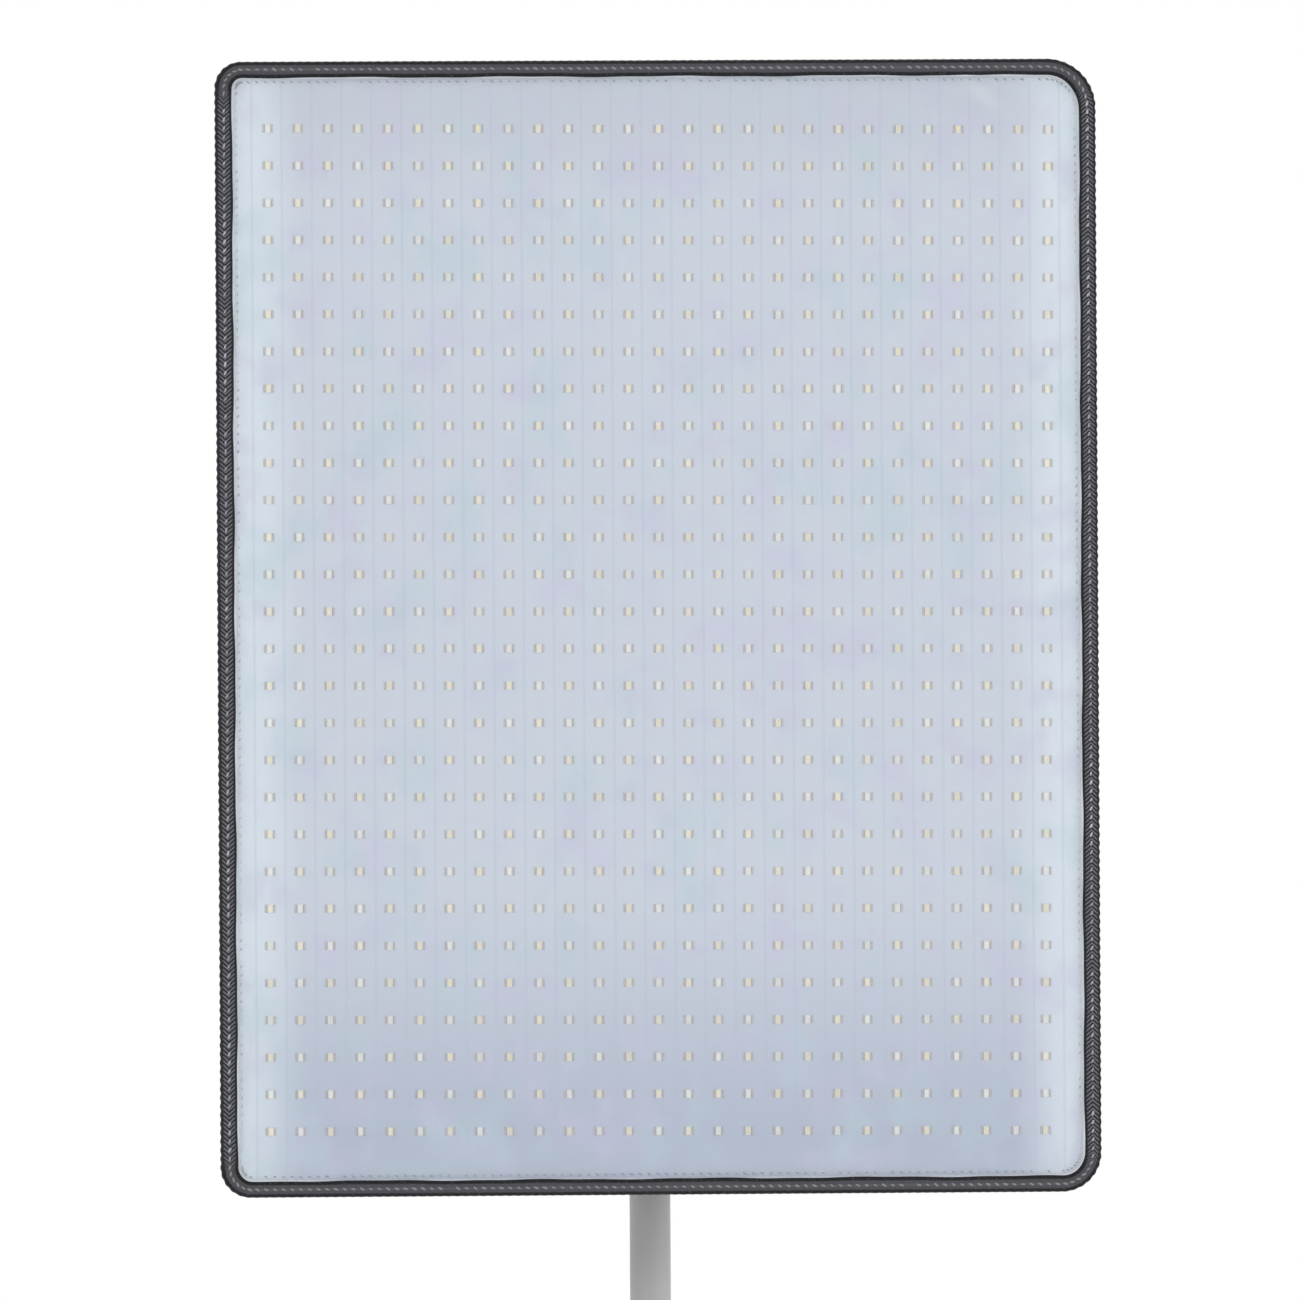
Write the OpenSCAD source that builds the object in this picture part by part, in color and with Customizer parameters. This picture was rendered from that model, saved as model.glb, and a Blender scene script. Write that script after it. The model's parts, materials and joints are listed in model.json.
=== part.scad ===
// Flexible LED light panel on a folding light stand.
//
// A thin mat of LEDs is stretched flat by four sprung rods that meet at a hub.
// The hub tilts on a fork, the fork swivels on the stand's 16 mm spigot, and
// the stand has three telescopic sections and three folding legs.
// Millimetres, +Z up, lit face towards -Y, origin on the floor at the middle
// of the footprint.

/* [Mat] */
// Width of the mat over its binding
mat_w = 470; // [450:5:490]
// Height of the mat over its binding
mat_h = 605; // [585:5:615]
// Width of the binding tape on each face
binding_w = 8; // [6:0.5:10]
// Number of LED columns, and of LED rows below
led_cols = 27; // [9:1:27]
// Number of LED rows
led_rows = 28; // [8:1:28]
// Spacing of the LED columns
led_pitch_x = 16; // [10:0.1:16.1]
// Spacing of the LED rows
led_pitch_z = 19.8; // [10:0.1:19.9]

/* [Holder] */
// Diameter of a sprung rod
rod_d = 6; // [5:0.5:7]
// Distance from the tilt axis to the back of the mat
mat_stand_off = 84; // [80:1:96]
// Radius of the hub plates
hub_r = 44; // [42:1:50]

/* [Column] */
// Outer diameter of the lowest section
base_tube_d = 30; // [29.6:0.1:30.5]
// Outer diameter of the middle section
mid_tube_d = 26; // [25.6:0.1:26.4]
// Outer diameter of the top section
top_tube_d = 22; // [21:0.1:22.4]
// Height of the lowest section's top end above the floor
base_tube_top = 498; // [480:1:520]
// Height of the top section's top end above the floor
top_tube_top = 872; // [860:1:900]
// Length of the middle and top sections
section_len = 450; // [430:5:460]

/* [Legs] */
// Distance from a leg's top pivot to the centre of its foot
leg_len = 440; // [420:5:480]
// Angle of an open leg from the vertical
leg_spread = 58; // [54:1:62]
// Strut length, and the distance between a leg's two pivots
link_len = 175; // [165:5:180]
// Diameter of a leg tube
leg_tube_d = 16; // [14:0.5:16]

/* [Hidden] */
$fn = 64;

// Clearances: a pin in its bore, a sliding tube, and a small part beside another
run = 0.05;
slide = 0.15;
gap = 0.3;
cut = 1; // how far a cutting shape runs past what it cuts

// Socket screws of the head
screw_r = 2;
screw_head_r = 3.9;
screw_head_h = 2.6;
screw_hex_r = 1.6;

// Tube walls
wall = 1;

// Leg linkage. Each leg's top pivot stays straight above its strut's lower
// pivot, because the strut is as long as the distance between the leg's pivots.
pivot_r = 30;
leg_offset = 18; // from the pivots' line to the leg tube's centre
foot_r = 13;
foot_h = 10.5; // from the foot's centre down to its flat
leg_azimuths = [270, 30, 150];
top_pivot_z = foot_h + leg_len * cos(leg_spread) - leg_offset * sin(leg_spread);
base_pivot_z = top_pivot_z - 2 * link_len * cos(leg_spread);
foot_reach = pivot_r + leg_len * sin(leg_spread) + leg_offset * cos(leg_spread);
column_y = foot_reach / 4; // puts the footprint's middle at the origin

rivet_r = 2.5;
rivet_head_r = 4.2;
rivet_head_h = 1.4;
strut_lug_t = 6; // thickness of the lugs that a strut's bars straddle
strut_bar_t = 2;
strut_bar_w = 11;
cap_lug_t = 8;
ear_t = 3;
ear_r = 7;
lug_r = 6.5;
clip_r = 10.5;
clip_half = 13; // half a clip's length along the leg
sleeve_len = 38; // rubber sleeve above the foot's centre
sleeve_floor = 3.5;
tube_in_foot = 4; // where the leg tube starts above the foot's centre
tube_below_pivot = 2;

// Stand collars and clamps
collar_r = 21;
base_collar_r = 20;
base_collar_low = 11; // how far the base collar reaches below its pivots
leg_collar_low = 12;
leg_collar_high = 34;
clamp_wall = 4.5;
clamp_low = 26;
clamp_high = 18;
bush_len = 28; // bush at the foot of a sliding tube
knob_screw_r = 3;
knob_r = 15;
leg_knob_r = 18;
boss_r = 8;
boss_len = 9;
leg_boss_z = 21; // knob height above the leg collar's pivots

// Head: the tilt axis runs along X above the column
spigot_r = 7.94; // the 5/8 inch stud of a light stand
spigot_len = 32;
thread_r = 3.1;
thread_len = 7;
flange_h = 6;
head_z = top_tube_top + 88;
receiver_r = 16;
receiver_low = top_tube_top + flange_h + gap;
receiver_knob_z = receiver_low + 20;
fork_base_t = 12;
fork_gap = 18; // between the fork's two ears
fork_ear_t = 7;
fork_r = 15;
fork_floor = 19; // from the tilt axis down to the fork's floor
tongue_t = 17;
tongue_neck_h = 18;
washer_t = 0.4;
bolt_r = 4;
bolt_out = 10; // how far the bolt reaches into the lever's boss
nut_r = 7.5;
nut_t = 6;
washer_r = 11;
lever_x = fork_gap / 2 + fork_ear_t;
lever_angle = 45;

// Hub: two plates that grip the rods
hub_plate_t = 6;
hub_back_y = 16 + hub_plate_t - mat_stand_off; // parting plane's y, plus the back plate
hub_part_y = hub_back_y - hub_plate_t;
hub_arm_r = 66;
hub_arm_w = 18;
tongue_flange = 52;
tongue_flange_t = 5;
tongue_screw_at = 19;
gusset_t = 3.5;
gusset_w = 25;
hub_screw_at = 34;

// Mat, counted in y from the tilt axis: layers from back to front
back_y = -mat_stand_off;
cloth_t = 0.8;
foam_t = 1.8;
sheet_t = 0.4;
led_w = 3;
led_h = 4.8;
led_t = 0.7;
film_gap = 0.5;
film_t = 0.8;
sheet_y = back_y - cloth_t - foam_t;
led_y = sheet_y - sheet_t;
film_back_y = led_y - led_t - film_gap;
film_y = film_back_y - film_t;
tape_t = 0.8;
edge_t = 1; // tape thickness around the edge
led_drop = 1.3; // the LED field sits this much below the mat's middle
// Corner radii: bottom left, bottom right, top right, top left
corner_radii = [16, 21, 26, 14];
corner_steps = 8;

// Rods run from the hub to the mat's corners
pocket_inset = 10;
pocket_leg = 66;
pocket_t = 11.5;
pocket_x = mat_w / 2 - pocket_inset;
pocket_z = mat_h / 2 - pocket_inset;
rod_angle = atan2(pocket_z, pocket_x);
rod_in = 12;
rod_out = norm([pocket_x, pocket_z]) - 28;
tip_len = 28;
tip_nose = 6; // how far the tip reaches past the rod
tip_r = 4;
rod_tip_y = back_y + 5.2;
rod_slope = atan2(hub_part_y - rod_tip_y, rod_out - rod_in);
rod_quadrants = [[1, 1], [-1, 1], [-1, -1], [1, -1]];

// Power inlet at the bottom of the mat's back
inlet_w = 64;
inlet_h = 38;
inlet_t = 20;
inlet_bottom = head_z - 278;
inlet_wall = 2;
inlet_chamfer = 4;
inlet_ribs = [6, 10, 26, 30];
inlet_rib_t = 1.6;
inlet_rib_h = 0.8;
groove_w = 0.8;
shell_r = 8;
shell_bore_r = 6.6; // where the plug goes
insert_r = 6.2;
shell_len = 9;
shell_flange_r = 9.5;
shell_flange_t = 2;
shell_depth = 8; // from the mouth to the insert's face
shell_y = back_y + inlet_t / 2;
shell_seat = 10; // how far the shell reaches into the box
insert_len = 9;
contact_r = 1;
contact_len = 12;
contact_bore_r = 0.6;
contact_circle_r = 3.4;

// Colours
silver = "#9a9b9d";
black = "#232427";
steel = "#b9bcc0";
charcoal = "#55565c";

// ---------- placing ----------

// Puts what follows on the column's axis, at height z
module at(z) translate([0, column_y, z]) children();

// A leg's own frame: origin at its top pivot, leg along -Z, outward along +X
module leg_frame(i)
    at(top_pivot_z) rotate([0, 0, leg_azimuths[i]])
        translate([pivot_r, 0, 0]) rotate([0, -leg_spread, 0]) children();

// A strut's own frame: origin at its lower pivot, strut along +Z
module strut_frame(i)
    at(base_pivot_z) rotate([0, 0, leg_azimuths[i]])
        translate([pivot_r, 0, 0]) rotate([0, leg_spread, 0]) children();

// Repeats what follows at the three leg positions, at height z
module at_pivots(z)
    for (a = leg_azimuths)
        at(z) rotate([0, 0, a]) translate([pivot_r, 0, 0]) children();

// Extrudes an outline seen from the front, from y = back towards the front
module facing(back, t)
    at(head_z) translate([0, back, 0]) rotate([90, 0, 0]) linear_extrude(height = t) children();

// A rod's own frame: origin on the hub's middle line, rod along +Z
module rod_frame(q)
    at(head_z) translate([0, hub_part_y, 0]) scale([q[0], 1, q[1]])
        rotate([0, 90 - rod_angle, 0]) translate([0, 0, rod_in])
            rotate([rod_slope, 0, 0]) children();

// ---------- shapes ----------

module along_x(r, from, to) translate([from, 0, 0]) rotate([0, 90, 0]) cylinder(r = r, h = to - from);
module along_y(r, from, to) translate([0, to, 0]) rotate([90, 0, 0]) cylinder(r = r, h = to - from);

module tube(r, from, to)
    translate([0, 0, from]) difference() {
        cylinder(r = r, h = to - from);
        translate([0, 0, -cut]) cylinder(r = r - wall, h = to - from + 2 * cut);
    }

// A ring between z = from and z = to, with small chamfers outside
module ring(outer, inner, from, to, chamfer = 1)
    rotate_extrude() polygon([
        [inner, from], [outer - chamfer, from], [outer, from + chamfer],
        [outer, to - chamfer], [outer - chamfer, to], [inner, to]]);

// A flat bar with round ends along +Z, lying in the XZ plane
module round_bar(len, w, t)
    rotate([90, 0, 0]) translate([0, 0, -t / 2]) linear_extrude(height = t) {
        translate([-w / 2, 0]) square([w, len]);
        circle(d = w);
        translate([0, len]) circle(d = w);
    }

// Rivet along Y, with a head beyond each side of half
module rivet(half) {
    along_y(rivet_r, -half, half);
    for (s = [-1, 1]) translate([0, s * (half + rivet_head_h / 2), 0])
        along_y(rivet_head_r, -rivet_head_h / 2, rivet_head_h / 2);
}

// Cuts a screw's hexagonal socket along Y, inwards from y = face; side is +1 if the face looks to +Y
module hex_socket(face, side)
    translate([0, face + side * cut, 0]) rotate([90 * side, 0, 0])
        cylinder(r = screw_hex_r, h = screw_hex_r + cut, $fn = 6);

// Points of the mat's outline, drawn in by inset, seen from the front
function arc_points(cx, cz, r, from) =
    [for (k = [0:corner_steps])
        let (a = from + 90 * k / corner_steps) [cx + r * cos(a), cz + r * sin(a)]];
function mat_outline(inset) =
    let (x = mat_w / 2 - inset, z = mat_h / 2 - inset, r = [for (c = corner_radii) max(c - inset, 2)])
    concat(
        arc_points(-x + r[0], -z + r[0], r[0], 180),
        arc_points(x - r[1], -z + r[1], r[1], 270),
        arc_points(x - r[2], z - r[2], r[2], 0),
        arc_points(-x + r[3], z - r[3], r[3], 90));

// Star knob and its screw along +Z; the screw's tip is at z = 0
module star_knob(r, boss_end) {
    lobes = 7;
    grip_h = 13;
    neck_h = 5;
    neck_r = 7;
    scallop_r = r * 0.36; // hollows between the lobes
    scallop_at = r * 1.15;
    grip_z = boss_end + gap + neck_h;
    color(steel) translate([0, 0, gap]) cylinder(r = knob_screw_r - run, h = grip_z - gap);
    color(black) {
        translate([0, 0, boss_end + gap]) cylinder(r = neck_r, h = neck_h);
        difference() {
            translate([0, 0, grip_z]) rotate_extrude()
                polygon([[0, 0], [r - 2, 0], [r, 2], [r, grip_h - 3], [r - 3, grip_h], [0, grip_h]]);
            for (k = [0:lobes - 1])
                rotate([0, 0, 360 * k / lobes]) translate([scallop_at, 0, grip_z - cut])
                    cylinder(r = scallop_r, h = grip_h + 2 * cut);
        }
    }
}

// Clamp at the top of a tube of radius outer, guiding a tube of radius inner
module section_clamp(outer, inner)
    difference() {
        union() {
            ring(outer + clamp_wall, inner, -clamp_low, clamp_high, 1.5);
            translate([0, 0, clamp_high / 2]) along_y(boss_r, 0, outer + boss_len);
        }
        translate([0, 0, -clamp_low - cut]) cylinder(r = outer + run, h = clamp_low + cut);
        translate([0, 0, -cut]) cylinder(r = inner + slide, h = clamp_high + 2 * cut);
        translate([0, 0, clamp_high / 2]) along_y(knob_screw_r, 0, outer + boss_len + cut);
    }

// The knob of such a clamp
module section_knob(outer, inner)
    translate([0, inner, clamp_high / 2]) rotate([-90, 0, 0])
        star_knob(knob_r, outer - inner + boss_len);

// ---------- column ----------

module base_tube() color(silver)
    at(0) tube(base_tube_d / 2, base_pivot_z - base_collar_low, base_tube_top);

module base_plug() color(black) at(base_pivot_z - base_collar_low) {
    rim_h = 5;
    plug_h = 12;
    translate([0, 0, -rim_h]) cylinder(r1 = base_tube_d / 2 - 1, r2 = base_tube_d / 2 + 1, h = rim_h - run);
    translate([0, 0, -run]) cylinder(r = base_tube_d / 2 - wall - run, h = plug_h);
}

module base_collar() color(black) difference() {
    union() {
        at(base_pivot_z) ring(base_collar_r, base_tube_d / 2 - cut, -base_collar_low, 13, 1.5);
        at_pivots(base_pivot_z) {
            along_y(lug_r, -strut_lug_t / 2, strut_lug_t / 2);
            translate([-pivot_r + base_tube_d / 2, -strut_lug_t / 2, -lug_r])
                cube([pivot_r - base_tube_d / 2, strut_lug_t, 2 * lug_r]);
        }
    }
    at(0) cylinder(r = base_tube_d / 2 + run, h = base_tube_top);
    at_pivots(base_pivot_z) along_y(rivet_r + run, -strut_lug_t, strut_lug_t);
}

module base_rivets() color(steel)
    at_pivots(base_pivot_z) rivet(strut_lug_t / 2 + strut_bar_t + 2 * gap);

module lower_clamp() color(black) at(base_tube_top) section_clamp(base_tube_d / 2, mid_tube_d / 2);

module lower_clamp_knob() at(base_tube_top) section_knob(base_tube_d / 2, mid_tube_d / 2);

// The middle section stands fully lowered, its clamp resting on the lower one
mid_tube_top = base_tube_top + clamp_high + clamp_low + gap;

module mid_tube() color(silver)
    at(0) tube(mid_tube_d / 2, mid_tube_top - section_len, mid_tube_top);

module mid_bush() color(black) at(mid_tube_top - section_len)
    ring(base_tube_d / 2 - wall - slide, mid_tube_d / 2 + run, 0, bush_len, 0.4);

module upper_clamp() color(black) at(mid_tube_top) section_clamp(mid_tube_d / 2, top_tube_d / 2);

module upper_clamp_knob() at(mid_tube_top) section_knob(mid_tube_d / 2, top_tube_d / 2);

module top_tube() color(silver)
    at(0) tube(top_tube_d / 2, top_tube_top - section_len, top_tube_top);

module top_bush() color(black) at(top_tube_top - section_len)
    ring(mid_tube_d / 2 - wall - slide, top_tube_d / 2 + run, 0, bush_len, 0.4);

// Stud in the top section's end: plug, flange, stud with a locking groove, thread
module spigot() color(steel) at(top_tube_top) {
    plug_r = top_tube_d / 2 - wall - run;
    plug_len = 20;
    groove = 1.2;
    stud_top = flange_h + spigot_len;
    groove_low = stud_top - 18;
    groove_high = stud_top - 10;
    slope = 2;
    rotate_extrude() polygon([
        [0, -plug_len], [plug_r, -plug_len], [plug_r, 0], [top_tube_d / 2, 0], [top_tube_d / 2, flange_h],
        [spigot_r, flange_h], [spigot_r, groove_low - slope], [spigot_r - groove, groove_low],
        [spigot_r - groove, groove_high], [spigot_r, groove_high + slope], [spigot_r, stud_top - 1],
        [spigot_r - 1, stud_top], [thread_r, stud_top], [thread_r, stud_top + thread_len],
        [0, stud_top + thread_len]]);
}

// ---------- legs ----------

module leg_collar() color(black) difference() {
    union() {
        at(top_pivot_z) {
            ring(collar_r, base_tube_d / 2 - cut, -leg_collar_low, leg_collar_high, 2);
            translate([0, 0, leg_boss_z]) along_y(boss_r + 1, 0, collar_r + boss_len);
        }
        at_pivots(top_pivot_z) for (s = [-1, 1])
            translate([0, s * (cap_lug_t / 2 + gap + ear_t / 2), 0]) {
                along_y(ear_r, -ear_t / 2, ear_t / 2);
                translate([-pivot_r + base_tube_d / 2, -ear_t / 2, -ear_r])
                    cube([pivot_r - base_tube_d / 2, ear_t, 2 * ear_r]);
            }
    }
    at(0) cylinder(r = base_tube_d / 2 + slide, h = base_tube_top);
    at_pivots(top_pivot_z) along_y(rivet_r + run, -2 * cap_lug_t, 2 * cap_lug_t);
    at(top_pivot_z + leg_boss_z) along_y(knob_screw_r, 0, collar_r + boss_len + cut);
}

module leg_clamp_knob() at(top_pivot_z + leg_boss_z)
    translate([0, base_tube_d / 2, 0]) rotate([-90, 0, 0])
        star_knob(leg_knob_r, collar_r - base_tube_d / 2 + boss_len);

module collar_rivets() color(steel)
    at_pivots(top_pivot_z) rivet(cap_lug_t / 2 + 2 * gap + ear_t);

module leg_tube(i) color(silver) leg_frame(i)
    translate([leg_offset, 0, 0])
        tube(leg_tube_d / 2, tube_in_foot - leg_len, -tube_below_pivot);

// Plastic end that carries the leg's top pivot
module leg_cap(i) color(black) leg_frame(i) difference() {
    socket = 32;
    web_h = 14;
    union() {
        translate([leg_offset, 0, 0]) ring(clip_r, 0, -socket - 2, tube_below_pivot, 1.2);
        along_y(lug_r, -cap_lug_t / 2, cap_lug_t / 2);
        translate([0, -cap_lug_t / 2, -web_h]) cube([leg_offset, cap_lug_t, web_h]);
    }
    translate([leg_offset, 0, -socket - 2 - cut]) cylinder(r = leg_tube_d / 2 + run, h = socket + cut);
    along_y(rivet_r + run, -cap_lug_t, cap_lug_t);
}

// Plastic clip that carries the strut's upper pivot
module leg_clip(i) color(black) leg_frame(i) translate([0, 0, -link_len]) difference() {
    union() {
        translate([leg_offset, 0, 0]) ring(clip_r, 0, -clip_half, clip_half, 1.2);
        along_y(lug_r, -strut_lug_t / 2, strut_lug_t / 2);
        translate([0, -strut_lug_t / 2, -lug_r]) cube([leg_offset, strut_lug_t, 2 * lug_r]);
    }
    translate([leg_offset, 0, -clip_half - cut])
        cylinder(r = leg_tube_d / 2 + run, h = 2 * clip_half + 2 * cut);
    along_y(rivet_r + run, -strut_lug_t, strut_lug_t);
}

// Rubber foot with a flat that meets the floor when the leg is open
module foot(i) color(black) leg_frame(i) translate([leg_offset, 0, -leg_len]) difference() {
    union() {
        sphere(r = foot_r);
        cylinder(r = clip_r, h = sleeve_len);
    }
    translate([0, 0, sleeve_floor]) cylinder(r = leg_tube_d / 2 + run, h = sleeve_len);
    rotate([0, leg_spread, 0]) translate([-2 * foot_r, -2 * foot_r, -foot_h - 2 * foot_r])
        cube([4 * foot_r, 4 * foot_r, 2 * foot_r]);
}

// Two flat bars that straddle the lugs, held apart by the outer rivet
module strut(i) color(silver) strut_frame(i) {
    bar_y = strut_lug_t / 2 + gap + strut_bar_t / 2;
    for (s = [-1, 1]) translate([0, s * bar_y, 0]) difference() {
        round_bar(link_len, strut_bar_w, strut_bar_t);
        along_y(rivet_r + run, -strut_bar_t, strut_bar_t);
    }
    translate([0, 0, link_len]) rivet(bar_y + strut_bar_t / 2);
}

// ---------- head ----------

// Socket for the stand's spigot below, fork for the tilt joint above
module receiver() color(black) at(0) difference() {
    body_top = head_z - fork_floor;
    fork_w = fork_gap + 2 * fork_ear_t;
    union() {
        translate([0, 0, receiver_low]) ring(receiver_r, 0, 0, body_top - receiver_low, 1.2);
        translate([-fork_w / 2, -fork_r, body_top - fork_base_t])
            cube([fork_w, 2 * fork_r, fork_base_t]);
        for (s = [-1, 1])
            translate([s * (fork_gap + fork_ear_t) / 2 - fork_ear_t / 2, 0, 0]) {
                translate([0, -fork_r, body_top - cut]) cube([fork_ear_t, 2 * fork_r, fork_floor + cut]);
                translate([0, 0, head_z]) along_x(fork_r, 0, fork_ear_t);
            }
        translate([0, 0, receiver_knob_z]) along_x(boss_r, -receiver_r - boss_len, 0);
    }
    translate([0, 0, receiver_low - cut]) cylinder(r = spigot_r + 0.1, h = spigot_len + cut);
    translate([0, 0, receiver_low]) cylinder(r = thread_r + 0.5, h = spigot_len + thread_len + 2);
    translate([0, 0, head_z]) along_x(bolt_r + run, -fork_w, fork_w);
    translate([0, 0, receiver_knob_z]) along_x(knob_screw_r, -receiver_r - boss_len - cut, 0);
}

module receiver_knob() at(receiver_knob_z)
    translate([-spigot_r, 0, 0]) rotate([0, -90, 0])
        star_knob(knob_r, receiver_r - spigot_r + boss_len);

module tilt_bolt() color(steel) at(head_z) along_x(bolt_r, -lever_x - nut_t - 1, lever_x + bolt_out);

module tilt_washers() color(steel) at(head_z) for (s = [-1, 1])
    translate([s * (tongue_t / 2 + washer_t / 2 + run), 0, 0]) difference() {
        along_x(washer_r, -washer_t / 2, washer_t / 2);
        along_x(bolt_r + run, -cut, cut);
    }

module tilt_nut() color(steel) at(head_z) difference() {
    rotate([0, -90, 0]) translate([0, 0, lever_x + run])
        cylinder(r = nut_r, h = nut_t, $fn = 6);
    along_x(bolt_r + run, -lever_x - nut_t - 2 * cut, 0);
}

// Clamping lever: boss on the bolt's end, and an arm that slants out and down
module tilt_lever() color(black) at(head_z) rotate([lever_angle, 0, 0]) difference() {
    boss_h = 15;
    arm_x = lever_x + 11;
    arm_t = 8;
    arm_w = 10;
    arm_len = 48;
    arm_lean = 8;
    union() {
        translate([lever_x + gap, 0, 0]) rotate([0, 90, 0]) ring(9, 0, 0, boss_h, 1);
        translate([arm_x, 0, 0]) rotate([0, arm_lean, 0]) {
            translate([-arm_t / 2, -arm_w / 2, -arm_len]) cube([arm_t, arm_w, arm_len]);
            translate([0, 0, -arm_len]) along_x(arm_w / 2, -arm_t / 2, arm_t / 2);
        }
    }
    along_x(bolt_r + run, 0, lever_x + bolt_out + gap);
}

// Tongue between the fork's ears, with a neck and a flange for the hub
module tilt_tongue() color(black) at(head_z) difference() {
    union() {
        along_x(fork_r, -tongue_t / 2, tongue_t / 2);
        translate([-tongue_t / 2, hub_back_y + cut, -tongue_neck_h / 2])
            cube([tongue_t, -hub_back_y - cut, tongue_neck_h]);
        translate([-tongue_flange / 2, hub_back_y, -tongue_flange / 2])
            cube([tongue_flange, tongue_flange_t, tongue_flange]);
        for (x = [-1, 1], z = [-1, 1]) scale([x, 1, z])
            translate([0, hub_back_y + cut, tongue_neck_h / 2 - gusset_t])
                linear_extrude(height = gusset_t) polygon([[0, 0], [gusset_w, 0], [0, gusset_w]]);
    }
    along_x(bolt_r + run, -tongue_t, tongue_t);
    for (p = four_ways(tongue_screw_at)) translate([p[0], 0, p[1]])
        along_y(screw_r + run, hub_back_y - cut, hub_back_y + tongue_flange_t + cut);
}

// Four places on the X and Z axes, at distance d
function four_ways(d) = [[d, 0], [0, d], [-d, 0], [0, -d]];

module tongue_screws() color(steel) {
    head_y = hub_back_y + tongue_flange_t + run;
    at(head_z) for (p = four_ways(tongue_screw_at)) translate([p[0], head_y, p[1]]) difference() {
        union() {
            along_y(screw_r, -tongue_flange_t - 5, 0);
            along_y(screw_head_r, 0, screw_head_h);
        }
        hex_socket(screw_head_h, 1);
    }
}

// ---------- hub and rods ----------

// One hub plate, from y = back towards the front, with an arm for each rod
module hub_plate(back, t) {
    facing(back, t) circle(r = hub_r);
    for (q = rod_quadrants) facing(back, t)
        rotate(atan2(q[1] * pocket_z, q[0] * pocket_x)) translate([0, -hub_arm_w / 2]) {
            square([hub_arm_r - hub_arm_w / 2, hub_arm_w]);
            translate([hub_arm_r - hub_arm_w / 2, hub_arm_w / 2]) circle(d = hub_arm_w);
        }
}

module rod_bores() for (q = rod_quadrants)
    rod_frame(q) cylinder(r = rod_d / 2 + run, h = hub_arm_r);

module hub_back() color(black) difference() {
    hub_plate(hub_back_y - run, hub_plate_t - run);
    rod_bores();
    at(head_z) {
        for (p = four_ways(tongue_screw_at)) translate([p[0], 0, p[1]])
            along_y(screw_r + run, hub_back_y - 5.5, hub_back_y + cut);
        for (p = four_ways(hub_screw_at)) translate([p[0], 0, p[1]])
            along_y(screw_r + run, hub_part_y - cut, hub_part_y + 5);
    }
}

// The front plate is thicker, to seat the screw heads
hub_front_y = hub_part_y - hub_plate_t - 1;
hub_seat_y = hub_front_y + 3;

module hub_front() color(black) difference() {
    hub_plate(hub_part_y, hub_part_y - hub_front_y);
    rod_bores();
    at(head_z) for (p = four_ways(hub_screw_at)) translate([p[0], 0, p[1]]) {
        along_y(screw_r + run, hub_front_y - cut, hub_part_y + cut);
        along_y(screw_head_r + 0.1, hub_front_y - cut, hub_seat_y);
    }
}

module hub_screws() color(steel) {
    screw_len = 8.5;
    at(head_z) for (p = four_ways(hub_screw_at)) translate([p[0], hub_seat_y - run, p[1]]) difference() {
        union() {
            along_y(screw_r, 0, screw_len);
            along_y(screw_head_r, -screw_head_h, 0);
        }
        hex_socket(-screw_head_h, -1);
    }
}

module rod(q) color(charcoal) rod_frame(q) cylinder(r = rod_d / 2, h = rod_out - rod_in);

module rod_tips() color(black) for (q = rod_quadrants)
    rod_frame(q) translate([0, 0, rod_out - rod_in]) difference() {
        union() {
            translate([0, 0, tip_nose - tip_len]) cylinder(r = tip_r, h = tip_len);
            translate([0, 0, tip_nose]) sphere(r = tip_r);
        }
        translate([0, 0, -tip_len]) cylinder(r = rod_d / 2 + run, h = tip_len + run);
    }

// Triangular pocket on each rear corner of the mat, open towards the hub
module corner_pockets() color(charcoal) for (q = rod_quadrants) difference() {
    intersection() {
        layer(pocket_inset, back_y + pocket_t, pocket_t);
        facing(back_y + pocket_t, pocket_t)
            polygon([
                [q[0] * pocket_x, q[1] * pocket_z],
                [q[0] * (pocket_x - pocket_leg), q[1] * pocket_z],
                [q[0] * pocket_x, q[1] * (pocket_z - pocket_leg)]]);
    }
    rod_frame(q) {
        cylinder(r = tip_r + gap, h = rod_out - rod_in + tip_nose);
        translate([0, 0, rod_out - rod_in + tip_nose]) sphere(r = tip_r + gap);
    }
}

// ---------- mat ----------

module layer(inset, back, t) facing(back, t) polygon(mat_outline(inset));

module diffuser_film() color("#c9d0dc", 0.6) layer(edge_t, film_back_y, film_t);
module led_sheet() color("#e8ebee") layer(6, sheet_y, sheet_t);
module foam_backing() color("#3a3b3f") layer(3, back_y - cloth_t, foam_t);
module back_cover() color(black) layer(edge_t, back_y, cloth_t);

// Every second LED, like the fields of a chessboard
module leds(parity)
    for (row = [0:led_rows - 1], col = [0:led_cols - 1])
        if ((row + col) % 2 == parity)
            at(head_z - led_drop) translate([
                (col - (led_cols - 1) / 2) * led_pitch_x - led_w / 2,
                led_y - led_t,
                (row - (led_rows - 1) / 2) * led_pitch_z - led_h / 2])
                cube([led_w, led_t, led_h]);

module warm_leds() color("#e9c27c") leds(0);
module daylight_leds() color("#efe3a4") leds(1);

// Tape folded round the edge of film and back cover
module edge_binding() color(charcoal) {
    inner = film_back_y - film_t - run;
    outer = back_y + run;
    difference() {
        layer(0, outer + tape_t, outer - inner + 2 * tape_t);
        layer(edge_t - run, outer, outer - inner);
        layer(binding_w, outer + 2 * tape_t, outer - inner + 4 * tape_t);
    }
}

// ---------- power inlet ----------

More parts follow.
